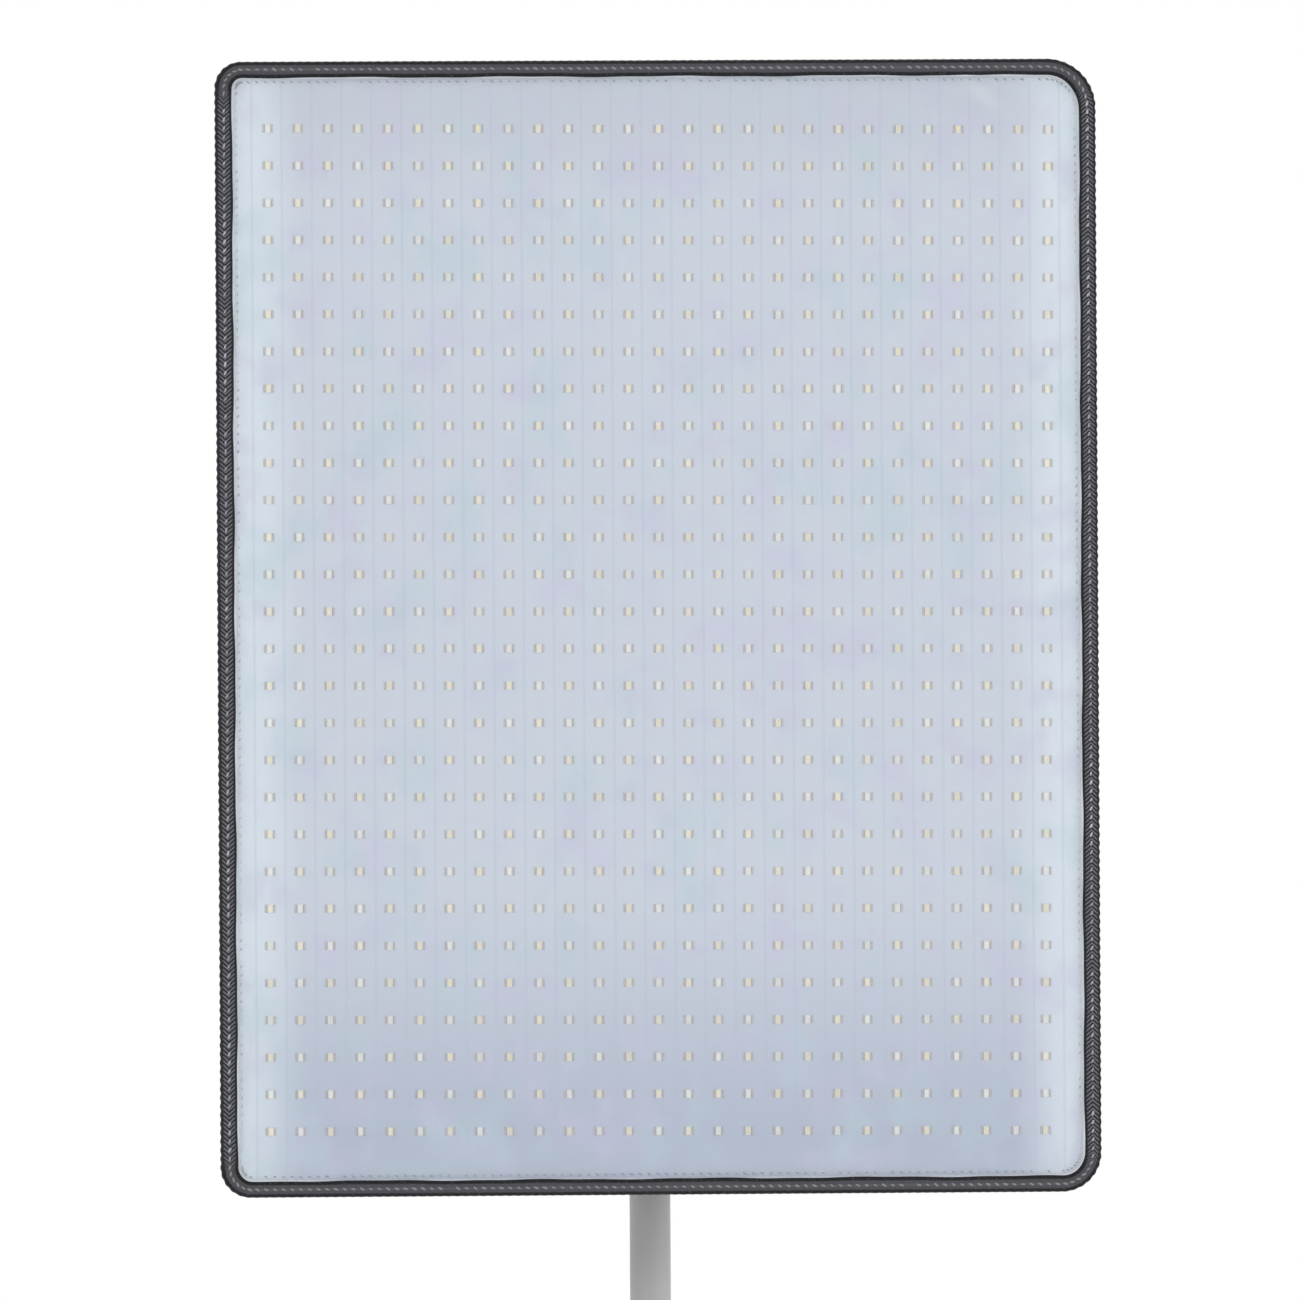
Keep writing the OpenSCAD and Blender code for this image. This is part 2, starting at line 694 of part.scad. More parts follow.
// Outline of the box seen from below, with its two rear corners cut off
module inlet_outline(inset)
    polygon([
        [-inlet_w / 2 + inset, -inlet_t / 2 + inset], [inlet_w / 2 - inset, -inlet_t / 2 + inset],
        [inlet_w / 2 - inset, inlet_t / 2 - inlet_chamfer],
        [inlet_w / 2 - inlet_chamfer, inlet_t / 2 - inset],
        [-inlet_w / 2 + inlet_chamfer, inlet_t / 2 - inset],
        [-inlet_w / 2 + inset, inlet_t / 2 - inlet_chamfer]]);

// Closed box with a parting groove round it and a grip rib near each end
module inlet_box() color(black) difference() {
    translate([0, shell_y, 0]) at(inlet_bottom) difference() {
        union() {
            linear_extrude(height = inlet_h) inlet_outline(0);
            for (z = inlet_ribs) translate([-inlet_w / 2 + inlet_chamfer, inlet_t / 2 - cut, z])
                cube([inlet_w - 2 * inlet_chamfer, cut + inlet_rib_h, inlet_rib_t]);
        }
        translate([0, 0, inlet_wall]) linear_extrude(height = inlet_h - 2 * inlet_wall)
            inlet_outline(inlet_wall);
        translate([0, 0, inlet_h / 2 - groove_w / 2]) linear_extrude(height = groove_w) difference() {
            square([2 * inlet_w, 2 * inlet_t], center = true);
            inlet_outline(groove_w);
        }
    }
    at(inlet_bottom - cut) translate([0, shell_y, 0]) cylinder(r = shell_r + run, h = inlet_wall + 2 * cut);
}

// Metal shell with a flange, open downwards
module inlet_shell() color(steel) at(inlet_bottom) translate([0, shell_y, 0]) difference() {
    union() {
        translate([0, 0, -shell_len]) cylinder(r = shell_r, h = shell_len + shell_seat);
        translate([0, 0, -shell_flange_t]) cylinder(r = shell_flange_r, h = shell_flange_t - run);
    }
    translate([0, 0, -shell_len - cut]) cylinder(r = shell_bore_r, h = shell_depth + cut);
    translate([0, 0, -shell_len]) cylinder(r = insert_r + run, h = shell_len + shell_seat + cut);
}

function contact_places() = [for (k = [0:3])
    [contact_circle_r * cos(90 * k + 45), contact_circle_r * sin(90 * k + 45)]];

module inlet_insert() color("#3b3c40") at(inlet_bottom - shell_len + shell_depth)
    translate([0, shell_y, 0]) difference() {
        cylinder(r = insert_r, h = insert_len);
        for (p = contact_places()) translate([p[0], p[1], -cut])
            cylinder(r = contact_r + run, h = insert_len + 2 * cut);
    }

module inlet_contacts() color("#c9a94e") at(inlet_bottom - shell_len + shell_depth)
    for (p = contact_places()) translate([p[0], shell_y + p[1], 0.2]) difference() {
        cylinder(r = contact_r, h = contact_len);
        translate([0, 0, -cut]) cylinder(r = contact_bore_r, h = contact_len / 2 + cut);
    }

base_tube();
base_plug();
base_collar();
base_rivets();
lower_clamp();
mid_tube();
mid_bush();
upper_clamp();
top_tube();
top_bush();
spigot();
lower_clamp_knob();
upper_clamp_knob();
leg_clamp_knob();
receiver();
receiver_knob();
tilt_bolt();
tilt_washers();
tilt_nut();
tilt_lever();
tilt_tongue();
tongue_screws();
hub_back();
hub_front();
hub_screws();
rod(rod_quadrants[0]);  // rod_1
rod(rod_quadrants[1]);  // rod_2
rod(rod_quadrants[2]);  // rod_3
rod(rod_quadrants[3]);  // rod_4
rod_tips();
corner_pockets();
diffuser_film();
warm_leds();
daylight_leds();
led_sheet();
foam_backing();
back_cover();
edge_binding();
inlet_box();
inlet_shell();
inlet_insert();
inlet_contacts();
strut(0);  // strut_1
strut(1);  // strut_2
strut(2);  // strut_3
leg_tube(0);  // leg_tube_1
leg_tube(1);  // leg_tube_2
leg_tube(2);  // leg_tube_3
leg_cap(0);  // leg_cap_1
leg_cap(1);  // leg_cap_2
leg_cap(2);  // leg_cap_3
leg_clip(0);  // leg_clip_1
leg_clip(1);  // leg_clip_2
leg_clip(2);  // leg_clip_3
foot(0);  // foot_1
foot(1);  // foot_2
foot(2);  // foot_3
leg_collar();
collar_rivets();
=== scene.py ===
import json
import math

import bpy
import numpy as np
from mathutils import Matrix, Vector


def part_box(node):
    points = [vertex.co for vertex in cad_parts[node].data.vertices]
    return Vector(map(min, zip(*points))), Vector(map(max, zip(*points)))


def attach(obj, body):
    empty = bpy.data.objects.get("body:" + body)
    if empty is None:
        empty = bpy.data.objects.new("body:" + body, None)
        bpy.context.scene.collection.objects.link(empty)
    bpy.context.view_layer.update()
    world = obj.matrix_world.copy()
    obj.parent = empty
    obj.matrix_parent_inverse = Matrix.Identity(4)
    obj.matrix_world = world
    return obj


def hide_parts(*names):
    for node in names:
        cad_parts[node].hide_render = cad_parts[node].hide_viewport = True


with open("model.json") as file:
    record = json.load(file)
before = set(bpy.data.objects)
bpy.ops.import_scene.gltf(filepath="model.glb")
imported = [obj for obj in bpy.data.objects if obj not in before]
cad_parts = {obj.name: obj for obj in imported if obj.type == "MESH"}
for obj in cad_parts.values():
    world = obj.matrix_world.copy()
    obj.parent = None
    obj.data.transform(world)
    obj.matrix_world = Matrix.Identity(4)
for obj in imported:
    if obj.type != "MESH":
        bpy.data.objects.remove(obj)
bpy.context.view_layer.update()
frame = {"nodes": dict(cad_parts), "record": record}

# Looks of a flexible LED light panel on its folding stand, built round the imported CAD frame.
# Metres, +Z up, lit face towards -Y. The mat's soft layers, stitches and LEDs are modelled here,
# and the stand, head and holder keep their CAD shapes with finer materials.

MM = 0.001

# The mat, from the frame
edge_low, edge_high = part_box("edge_binding")
film_low, film_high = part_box("diffuser_film")
cover_low, cover_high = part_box("back_cover")
MAT_W = edge_high.x - edge_low.x
MAT_H = edge_high.z - edge_low.z
MAT_X = (edge_low.x + edge_high.x) / 2
MAT_Z = (edge_low.z + edge_high.z) / 2
FILM_Y = film_low.y
COVER_Y = cover_high.y
BINDING_W = 8 * MM
SHEET_INSET = 3 * MM  # from the mat's outline to the film's and cover's cut edges, under the tape

# Corner of the mat, as the side it is on, the angle where its arc starts, and its radius
CORNERS = (
    (-1, -1, 180, 16 * MM),
    (1, -1, 270, 21 * MM),
    (1, 1, 0, 26 * MM),
    (-1, 1, 90, 14 * MM),
)

# LED grid, which fills the box of both LED nodes
LED_COLS = 27
LED_ROWS = 28
LED_W = 3 * MM
LED_H = 4.8 * MM
warm_low, warm_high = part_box("warm_leds")
cool_low, cool_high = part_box("daylight_leds")
LED_X = np.linspace(
    min(warm_low.x, cool_low.x) + LED_W / 2, max(warm_high.x, cool_high.x) - LED_W / 2, LED_COLS
)
LED_Z = np.linspace(
    min(warm_low.z, cool_low.z) + LED_H / 2, max(warm_high.z, cool_high.z) - LED_H / 2, LED_ROWS
)
LED_BACK_Y = warm_high.y
LED_FRONT_Y = warm_low.y

STITCH_PITCH = 4.65 * MM
POINTS_PER_STITCH = 8  # of the tape's outline
TAPE_SEAM = 4.1 * MM  # rows of stitches, as distances in from the mat's outline
FILM_SEAM = 10.9 * MM
LED_SKEW = math.radians(0.3)  # the circuit is sewn in slightly askew
LED_TAPER = 0.014  # and pulled in towards the foot, as a share of width over one metre


# ---------- small helpers ----------

def smooth(x):
    """Eases from 0 to 1 as x goes from 0 to 1."""
    x = np.clip(x, 0, 1)
    return x * x * (3 - 2 * x)


def hill(distance, width):
    """A round hill of height 1 at distance 0, which ends at width."""
    return 1 - smooth(np.abs(distance) / width)


def waves(x, z, seed, size):
    """Gentle undulation between about -1 and 1, with features of the given size."""
    rng = np.random.default_rng(seed)
    count = 5
    total = 0
    for _ in range(count):
        angle = rng.uniform(0, math.tau)
        length = size * rng.uniform(0.7, 1.5)
        phase = rng.uniform(0, math.tau)
        total = total + np.sin((x * math.cos(angle) + z * math.sin(angle)) * math.tau / length + phase)
    return total / math.sqrt(count) / 1.4


def make_piece(name, points, faces, materials, body="mat", uv=None, face_materials=None, flat=False):
    """A mesh object that rides on a body. uv is a (u, v) pair for each point."""
    mesh = bpy.data.meshes.new(name)
    mesh.from_pydata(np.asarray(points).tolist(), [], faces)
    for m in materials:
        mesh.materials.append(m)
    mesh.polygons.foreach_set("use_smooth", [not flat] * len(mesh.polygons))
    if face_materials is not None:
        mesh.polygons.foreach_set("material_index", face_materials)
    if uv is not None:
        add_uv(mesh, "run", uv)
    mesh.validate()
    mesh.update()
    piece = bpy.data.objects.new(name, mesh)
    bpy.context.scene.collection.objects.link(piece)
    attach(piece, body)
    return piece


def add_uv(mesh, name, uv):
    """Adds a uv layer from one pair for each point."""
    corner = np.empty(len(mesh.loops), dtype=np.int32)
    mesh.loops.foreach_get("vertex_index", corner)
    layer = mesh.uv_layers.new(name=name)
    layer.data.foreach_set("uv", np.asarray(uv, dtype=np.float32)[corner].ravel())


def grid_faces(rows, cols, start=0, close_rows=False, close_cols=False, flip=False):
    """Quads of a grid of points stored row by row."""
    r = np.arange(rows if close_rows else rows - 1)
    c = np.arange(cols if close_cols else cols - 1)
    r, c = np.meshgrid(r, c, indexing="ij")
    r2, c2 = (r + 1) % rows, (c + 1) % cols
    quads = np.stack([r * cols + c, r * cols + c2, r2 * cols + c2, r2 * cols + c], axis=-1)
    quads = quads.reshape(-1, 4) + start
    return (quads[:, ::-1] if flip else quads).tolist()


def outline(count, inset=0.0):
    """Evenly spaced points round the mat, anticlockwise from in front, with their outward normals,
    their distances along the outline, and its whole length."""
    x, z, turn = [], [], []
    for side_x, side_z, start, radius in CORNERS:
        angles = np.radians(np.linspace(start, start + 90, 60))
        x.extend(MAT_X + side_x * (MAT_W / 2 - radius) + radius * np.cos(angles))
        z.extend(MAT_Z + side_z * (MAT_H / 2 - radius) + radius * np.sin(angles))
        turn.extend(np.unwrap(angles))
    x, z = np.array(x + x[:1]), np.array(z + z[:1])
    turn = np.unwrap(np.array(turn + turn[:1]))
    run = np.concatenate([[0], np.cumsum(np.hypot(np.diff(x), np.diff(z)))])
    at = np.linspace(0, run[-1], count, endpoint=False)
    angle = np.interp(at, run, turn)
    normal = np.stack([np.cos(angle), np.sin(angle)], axis=1)
    points = np.stack([np.interp(at, run, x), np.interp(at, run, z)], axis=1) - inset * normal
    return points, normal, at, run[-1]


def half_widths(z, inset):
    """Where the mat's outline, drawn in by inset, lies left and right of the middle at height z."""
    sides = []
    for side in (-1, 1):
        reach = np.full_like(z, MAT_W / 2 - inset)
        for side_x, side_z, _, radius in CORNERS:
            if side_x != side:
                continue
            r = radius - inset
            into = side_z * (z - MAT_Z) - (MAT_H / 2 - radius)
            cut = r - np.sqrt(np.clip(r * r - np.clip(into, 0, r) ** 2, 0, None))
            reach = reach - cut
        sides.append(reach)
    return sides


def askew(x, z, back=False):
    """Moves points with the circuit's small skew and taper, or back again."""
    u, w = x - MAT_X, z - MAT_Z
    sign = -1 if back else 1
    return x + sign * (w * LED_SKEW + u * w * LED_TAPER), z - sign * u * LED_SKEW


def edge_distance(x, z):
    """Distance inwards from the mat's outline, for points inside it."""
    u, w = x - MAT_X, z - MAT_Z
    inside = np.minimum(MAT_W / 2 - np.abs(u), MAT_H / 2 - np.abs(w))
    for side_x, side_z, _, radius in CORNERS:
        du = side_x * u - (MAT_W / 2 - radius)
        dw = side_z * w - (MAT_H / 2 - radius)
        corner = (du > 0) & (dw > 0)
        inside = np.where(corner, radius - np.hypot(du, dw), inside)
    return inside


# ---------- node graphs ----------

class Graph:
    """One material's nodes. An input given a socket is linked to it, and any other value is set."""

    def __init__(self, name, **sockets):
        self.material = bpy.data.materials.new(name)
        self.material.use_nodes = True
        self.tree = self.material.node_tree
        self.shader = self.tree.nodes["Principled BSDF"]
        self.object = self.put("TexCoord").outputs["Object"]
        self.set(**sockets)

    def feed(self, socket, value):
        if isinstance(value, bpy.types.NodeSocket):
            self.tree.links.new(value, socket)
        elif socket.type == "RGBA" and len(value) == 3:
            socket.default_value = (*value, 1)
        else:
            socket.default_value = value

    def set(self, **sockets):
        for name, value in sockets.items():
            self.feed(self.shader.inputs[name.replace("_", " ")], value)

    def put(self, kind, **values):
        node = self.tree.nodes.new("ShaderNode" + kind)
        for name, value in values.items():
            if name[0].islower():
                setattr(node, name, value)
            else:
                self.feed(node.inputs[name.replace("_", " ")], value)
        return node

    def sums(self, operation, *values):
        node = self.put("Math", operation=operation)
        for socket, value in zip(node.inputs, values):
            self.feed(socket, value)
        return node.outputs[0]

    def stretched(self, x, y, z):
        """Object coordinates with each axis scaled, for grain that runs one way."""
        return self.put("Mapping", Vector=self.object, Scale=(x, y, z)).outputs[0]

    def noise(self, scale, detail=3.0, vector=None):
        vector = self.object if vector is None else vector
        node = self.put("TexNoise", Vector=vector, Scale=scale, Detail=detail, Roughness=0.55)
        return node.outputs[0]

    def spots(self, scale):
        return self.put("TexVoronoi", Vector=self.object, Scale=scale).outputs[0]

    def fit(self, value, low, high, to_low=0.0, to_high=1.0):
        node = self.put("MapRange", interpolation_type="SMOOTHSTEP", Value=value)
        for name, v in (("From Min", low), ("From Max", high), ("To Min", to_low), ("To Max", to_high)):
            self.feed(node.inputs[name], v)
        return node.outputs[0]

    def blend(self, share, a, b):
        """Colour a, turning to colour b as share goes from 0 to 1."""
        # a Mix node's colours are its inputs 6 and 7 and its output 2
        node = self.put("Mix", data_type="RGBA")
        self.feed(node.inputs[0], share)
        self.feed(node.inputs[6], a)
        self.feed(node.inputs[7], b)
        return node.outputs[2]

    def bump(self, height, strength, distance, under=None):
        node = self.put("Bump", Height=height, Strength=strength, Distance=distance)
        if under is not None:
            self.feed(node.inputs["Normal"], under)
        return node.outputs[0]

    def round_edges(self, radius):
        """A normal that rounds sharp CAD edges over the given radius."""
        return self.put("Bevel", samples=4, Radius=radius).outputs[0]

    def edge_mask(self, radius):
        """1 along sharp edges and 0 on flats, for wear."""
        plain = self.put("NewGeometry").outputs["Normal"]
        node = self.put("VectorMath", operation="DOT_PRODUCT")
        self.feed(node.inputs[0], self.round_edges(radius))
        self.feed(node.inputs[1], plain)
        return self.fit(node.outputs["Value"], 0.97, 0.8)


def tint(colour, factor):
    """A colour made lighter or darker."""
    return tuple(c * factor for c in colour)


def srgb(r, g, b):
    """Linear colour from 0 to 255 screen values."""
    def linear(c):
        c /= 255
        return c / 12.92 if c <= 0.04045 else ((c + 0.055) / 1.055) ** 2.4
    return tuple(linear(c) for c in (r, g, b))


# ---------- materials of the stand, head and holder ----------

def powder_coat(name, colour, roughness, grain=1400.0, worn=None):
    """Sprayed and baked paint: fine orange peel, cloudy gloss, and bare or dusty edges."""
    g = Graph(name, Roughness=roughness, Specular_IOR_Level=0.45)
    cloud = g.noise(14.0)
    base = g.blend(g.fit(cloud, 0.35, 0.7), tint(colour, 0.93), tint(colour, 1.06))
    if worn is not None:
        scuffs = g.sums("MULTIPLY", g.edge_mask(0.5 * MM), g.fit(g.noise(220.0, 5.0), 0.45, 0.7))
        base = g.blend(scuffs, base, worn)
    peel = g.noise(grain, 2.0)
    g.set(
        Base_Color=base,
        Roughness=g.fit(g.noise(60.0, 4.0), 0.3, 0.75, roughness - 0.06, roughness + 0.1),
        Normal=g.bump(peel, 0.25, 0.12 * MM, g.round_edges(0.4 * MM)),
    )
    return g.material


def moulded_plastic(name, colour, roughness):
    """Injection moulding: spark-eroded texture, faint flow marks, edges rubbed paler."""
    g = Graph(name, Roughness=roughness, Specular_IOR_Level=0.5)
    flow = g.noise(30.0, 2.0, g.stretched(1, 1, 0.3))
    base = g.blend(g.fit(flow, 0.3, 0.7), tint(colour, 0.85), tint(colour, 1.2))
    rubbed = g.sums("MULTIPLY", g.edge_mask(0.5 * MM), g.fit(g.noise(160.0, 4.0), 0.35, 0.7, 0.0, 0.6))
    g.set(
        Base_Color=g.blend(rubbed, base, tint(colour, 3.2)),
        Roughness=g.fit(g.noise(90.0, 4.0), 0.3, 0.7, roughness - 0.08, roughness + 0.1),
        Normal=g.bump(g.spots(2600.0), 0.35, 0.08 * MM, g.round_edges(0.5 * MM)),
    )
    return g.material


def plated_steel(name, colour, roughness):
    """Zinc plate: bright, faintly mottled, with turning marks."""
    g = Graph(name, Metallic=1.0, Roughness=roughness)
    mottle = g.noise(300.0, 4.0)
    marks = g.noise(40.0, 2.0, g.stretched(60, 60, 60))
    g.set(
        Base_Color=g.blend(g.fit(mottle, 0.3, 0.7), tint(colour, 0.86), tint(colour, 1.1)),
        Roughness=g.fit(marks, 0.3, 0.7, roughness - 0.08, roughness + 0.1),
        Normal=g.bump(marks, 0.12, 0.05 * MM, g.round_edges(0.25 * MM)),
    )
    return g.material


def wrinkle_paint(name, colour):
    """Crackled black paint of a cast light head, with painted shade in its wrinkles' hollows and a painted
    highlight on their ridges.
    """
    g = Graph(name, Specular_IOR_Level=0.5)
    wrinkle = g.put("TexVoronoi", feature="SMOOTH_F1", Vector=g.object, Scale=1500.0).outputs[0]
    bare = g.sums("MULTIPLY", g.edge_mask(0.45 * MM), g.fit(g.noise(240.0, 5.0), 0.48, 0.68))
    # Painted shade and highlight: the paint is darker in the wrinkles' hollows and lighter on their ridges.
    paint_and_wrinkle_shade = g.blend(wrinkle, tint(colour, 0.8), tint(colour, 1.5))
    g.set(
        Base_Color=g.blend(bare, paint_and_wrinkle_shade, (0.22, 0.22, 0.22)),
        Roughness=g.fit(g.noise(80.0, 4.0), 0.3, 0.7, 0.4, 0.6),
        Normal=g.bump(wrinkle, 0.4, 0.15 * MM, g.round_edges(0.6 * MM)),
    )
    return g.material


def foot_rubber(name):
    """Black rubber: dull, dusty low down, with a fine mould grain."""
    g = Graph(name, Specular_IOR_Level=0.3)
    height = g.put("SeparateXYZ", Vector=g.object).outputs["Z"]
    dust = g.sums("MULTIPLY", g.fit(height, 0.03, 0.002), g.fit(g.noise(120.0, 5.0), 0.35, 0.7))
    g.set(
        Base_Color=g.blend(dust, (0.018, 0.018, 0.019), (0.12, 0.115, 0.105)),
        Roughness=g.fit(g.noise(70.0, 4.0), 0.3, 0.7, 0.7, 0.92),
        Normal=g.bump(g.noise(1800.0, 3.0), 0.35, 0.12 * MM, g.round_edges(0.8 * MM)),
    )
    return g.material


def rod_coating(name):
    """Pultruded rod: glass fibres run lengthwise under a satin black skin."""
    g = Graph(name, Specular_IOR_Level=0.5)
    fibres = g.noise(900.0, 3.0)
    g.set(
        Base_Color=g.blend(g.fit(fibres, 0.35, 0.7), (0.02, 0.02, 0.022), (0.05, 0.05, 0.054)),
        Roughness=g.fit(g.noise(120.0, 3.0), 0.3, 0.7, 0.32, 0.48),
        Normal=g.bump(fibres, 0.18, 0.08 * MM),
    )
    return g.material


# ---------- materials of the mat ----------

def woven(name, colour, pitch):
    """Plain nylon weave: threads cross over and under along X and Z, with painted shade where they dip and
    a painted highlight where they cross.
    """
    g = Graph(name, Specular_IOR_Level=0.25, Sheen_Weight=0.3, Sheen_Roughness=0.5)
    split = g.put("SeparateXYZ", Vector=g.object)
    across, along = (
        g.sums("SINE", g.sums("MULTIPLY", split.outputs[axis], math.pi / pitch)) for axis in "XZ"
    )
    threads = g.sums("MULTIPLY", across, along)
    height = g.fit(threads, -1.0, 1.0)
    slub = g.noise(60.0, 4.0, g.stretched(1, 1, 6))
    # Painted shade and highlight: the weave is darker where threads dip under and lighter where they cross
    # over.
    weave = g.blend(height, tint(colour, 0.7), tint(colour, 1.35))
    g.set(
        Base_Color=g.blend(g.fit(slub, 0.35, 0.7, 0.0, 0.5), weave, tint(colour, 1.9)),
        Roughness=g.fit(slub, 0.3, 0.7, 0.75, 0.9),
        Normal=g.bump(height, 0.6, pitch * 0.35),
    )
    return g.material


def flat_run(g):
    """1 along the mat's top and bottom runs of tape, 0 along its sides."""
    height = g.put("SeparateXYZ", Vector=g.object).outputs["Z"]
    away = g.sums("ABSOLUTE", g.sums("SUBTRACT", height, MAT_Z))
    return g.fit(away, MAT_H / 2 - 26 * MM, MAT_H / 2 - 12 * MM)


def binding_material(name):
    """Woven tape: braided threads in chevrons down the sides, and lengthwise lines along top and bottom."""
    g = Graph(name, Specular_IOR_Level=0.3, Sheen_Weight=0.1, Sheen_Roughness=0.45)
    uv = g.put("SeparateXYZ", Vector=g.put("UVMap", uv_map="run").outputs[0])
    along, across = uv.outputs["X"], uv.outputs["Y"]
    bend = g.sums("ABSOLUTE", g.sums("SUBTRACT", across, 0.5 * BINDING_W))
    lean = g.sums("ADD", along, bend)
    chevron = g.sums("SINE", g.sums("MULTIPLY", lean, math.tau / (STITCH_PITCH / 2)))
    thread = g.sums("SINE", g.sums("MULTIPLY", g.sums("SUBTRACT", along, bend), math.tau / (0.62 * MM)))
    fleck = g.noise(700.0, 3.0)
    black, dark = srgb(19, 19, 24), srgb(44, 44, 50)
    grey, pale = srgb(118, 118, 125), srgb(138, 137, 144)

    middle = g.fit(bend, 3.3 * MM, 2.2 * MM)
    rib = g.sums("MULTIPLY", g.fit(chevron, -0.1, 0.9), middle)
    braided = g.blend(rib, g.blend(middle, black, dark), grey)
    lines = g.blend(g.fit(bend, 2.7 * MM, 1.7 * MM), black, srgb(78, 78, 84))
    lines = g.blend(g.fit(bend, 0.9 * MM, 0.3 * MM, 0.0, 0.6), lines, srgb(98, 98, 104))
    top = flat_run(g)
    base = g.blend(top, braided, lines)
    flecks = g.fit(fleck, 0.5, 0.8, 0.0, 0.25)
    relief = g.sums("ADD", thread, g.sums("MULTIPLY", chevron, g.fit(top, 0.0, 1.0, 1.0, 0.2)))
    g.set(
        Base_Color=g.blend(flecks, base, pale),
        Roughness=g.fit(fleck, 0.3, 0.7, 0.62, 0.85),
        Normal=g.bump(relief, 0.55, 0.12 * MM),
    )
    return g.material


def thread_material(name, colour):
    """Twisted polyester sewing thread, darker along the mat's top and bottom: painted shade where it sinks
    into the tape.
    """
    g = Graph(name, Specular_IOR_Level=0.35, Sheen_Weight=0.3, Sheen_Roughness=0.4)
    twist = g.noise(2400.0, 2.0)
    patch = g.noise(30.0, 3.0)
    base = g.blend(g.fit(patch, 0.4, 0.7), tint(colour, 0.6), tint(colour, 1.1))
    # Painted shade: the thread is darker along the mat's top and bottom, where it sinks into the tape.
    base = g.blend(flat_run(g), base, tint(colour, 0.45))
    g.set(
        Base_Color=g.blend(g.fit(twist, 0.3, 0.7, 0.0, 0.5), base, tint(colour, 0.55)),
        Roughness=g.fit(twist, 0.3, 0.7, 0.55, 0.75),
        Normal=g.bump(twist, 0.4, 0.1 * MM),
    )
    return g.material


def mat_tones(g):
    """Blue-grey of the lit face, with painted shade that makes it darker towards the foot and a little
    darker towards the head, a painted highlight that makes it lighter towards the left and right sides, and
    faint lilac and aqua clouds.
    """
    place = g.put("SeparateXYZ", Vector=g.object)
    height = place.outputs["Z"]
    # Painted shade: darker from the middle towards the foot, and a little darker towards the head.
    base = g.blend(g.fit(height, MAT_Z - 0.5 * MAT_H, MAT_Z - 0.2 * MAT_H), FOOT_TONE, MIDDLE_TONE)
    base = g.blend(g.fit(height, MAT_Z + 0.36 * MAT_H, MAT_Z + 0.47 * MAT_H), base, HEAD_TONE)
    beside = g.sums("ABSOLUTE", g.sums("SUBTRACT", place.outputs["X"], MAT_X))
    # Painted highlight: lighter towards the left and right sides.
    base = g.blend(g.fit(beside, MAT_W / 2 - 48 * MM, MAT_W / 2 - 14 * MM, 0.0, 0.85), base, SIDE_HIGHLIGHT_TONE)
    lilac = g.noise(42.0, 3.0)
    aqua = g.noise(31.0, 3.0, g.stretched(1.2, 1, 0.8))
    base = g.blend(g.fit(lilac, 0.48, 0.7, 0.0, 0.45), base, LILAC_TONE)
    return g.blend(g.fit(aqua, 0.5, 0.72, 0.0, 0.45), base, AQUA_TONE)


def film_material(name):
    """Clear glossy film with a frosting that thickens along its edges, a painted highlight along its rim
    that is strongest on the left and right sides, and painted highlights along its creases.
    """
    g = Graph(name, Specular_IOR_Level=0.6, Coat_Weight=0.3, Coat_Roughness=0.12)
    uv = g.put("SeparateXYZ", Vector=g.put("UVMap", uv_map="run").outputs[0])
    inset, along = uv.outputs["X"], uv.outputs["Y"]
    margin = g.fit(inset, 30 * MM, 12 * MM, 0.0, 0.6)
    base = g.blend(margin, mat_tones(g), MARGIN_TONE)
    # Masks of painted highlights: along the creases, and the sides' share of the rim highlight.
    white = g.put("SeparateXYZ", Vector=g.put("UVMap", uv_map="painted_highlight").outputs[0])
    crease_highlight, sides = white.outputs["X"], white.outputs["Y"]
    # Painted highlight along the rim where the film comes out from under the tape, strongest on the left
    # and right sides.
    rim = g.sums("MULTIPLY", g.fit(inset, 15 * MM, RIM_EDGE), g.fit(sides, 0.0, 1.0, 0.25, 0.9))
    base = g.blend(rim, base, HIGHLIGHT_TONE)
    # Painted highlights along the creases.
    base = g.blend(g.fit(crease_highlight, 0.05, 0.9, 0.0, 0.8), base, HIGHLIGHT_TONE)
    pulled = g.sums("COSINE", g.sums("MULTIPLY", along, math.tau / STITCH_PITCH))
    seam = g.fit(g.sums("ABSOLUTE", g.sums("SUBTRACT", inset, 11 * MM)), 1.6 * MM, 0.4 * MM)
    puckers = g.sums("MULTIPLY", pulled, seam)
    frosting = g.fit(inset, 34 * MM, 12 * MM, FILM_ALPHA, MARGIN_ALPHA)
    rim_frosting = g.fit(inset, 10.4 * MM, RIM_EDGE, 0.0, RIM_ALPHA)
    grain = g.noise(520.0, 3.0)
    g.set(
        Base_Color=base,
        Alpha=g.sums("MAXIMUM", rim_frosting, frosting),
        Roughness=g.fit(g.noise(26.0, 4.0), 0.3, 0.7, 0.2, 0.34),
        Normal=g.bump(g.sums("ADD", puckers, g.sums("MULTIPLY", grain, 0.2)), 0.5, 0.25 * MM),
    )
    return g.material


def film_back_material(name):
    """The film's hidden side, almost clear."""
    g = Graph(name, Specular_IOR_Level=0.3, Alpha=0.04)
    # Its tone is mat_tones, with its painted shade towards the foot and painted highlight towards the
    # sides.
    g.set(Base_Color=mat_tones(g), Roughness=g.fit(g.noise(26.0), 0.3, 0.7, 0.3, 0.4))
    return g.material


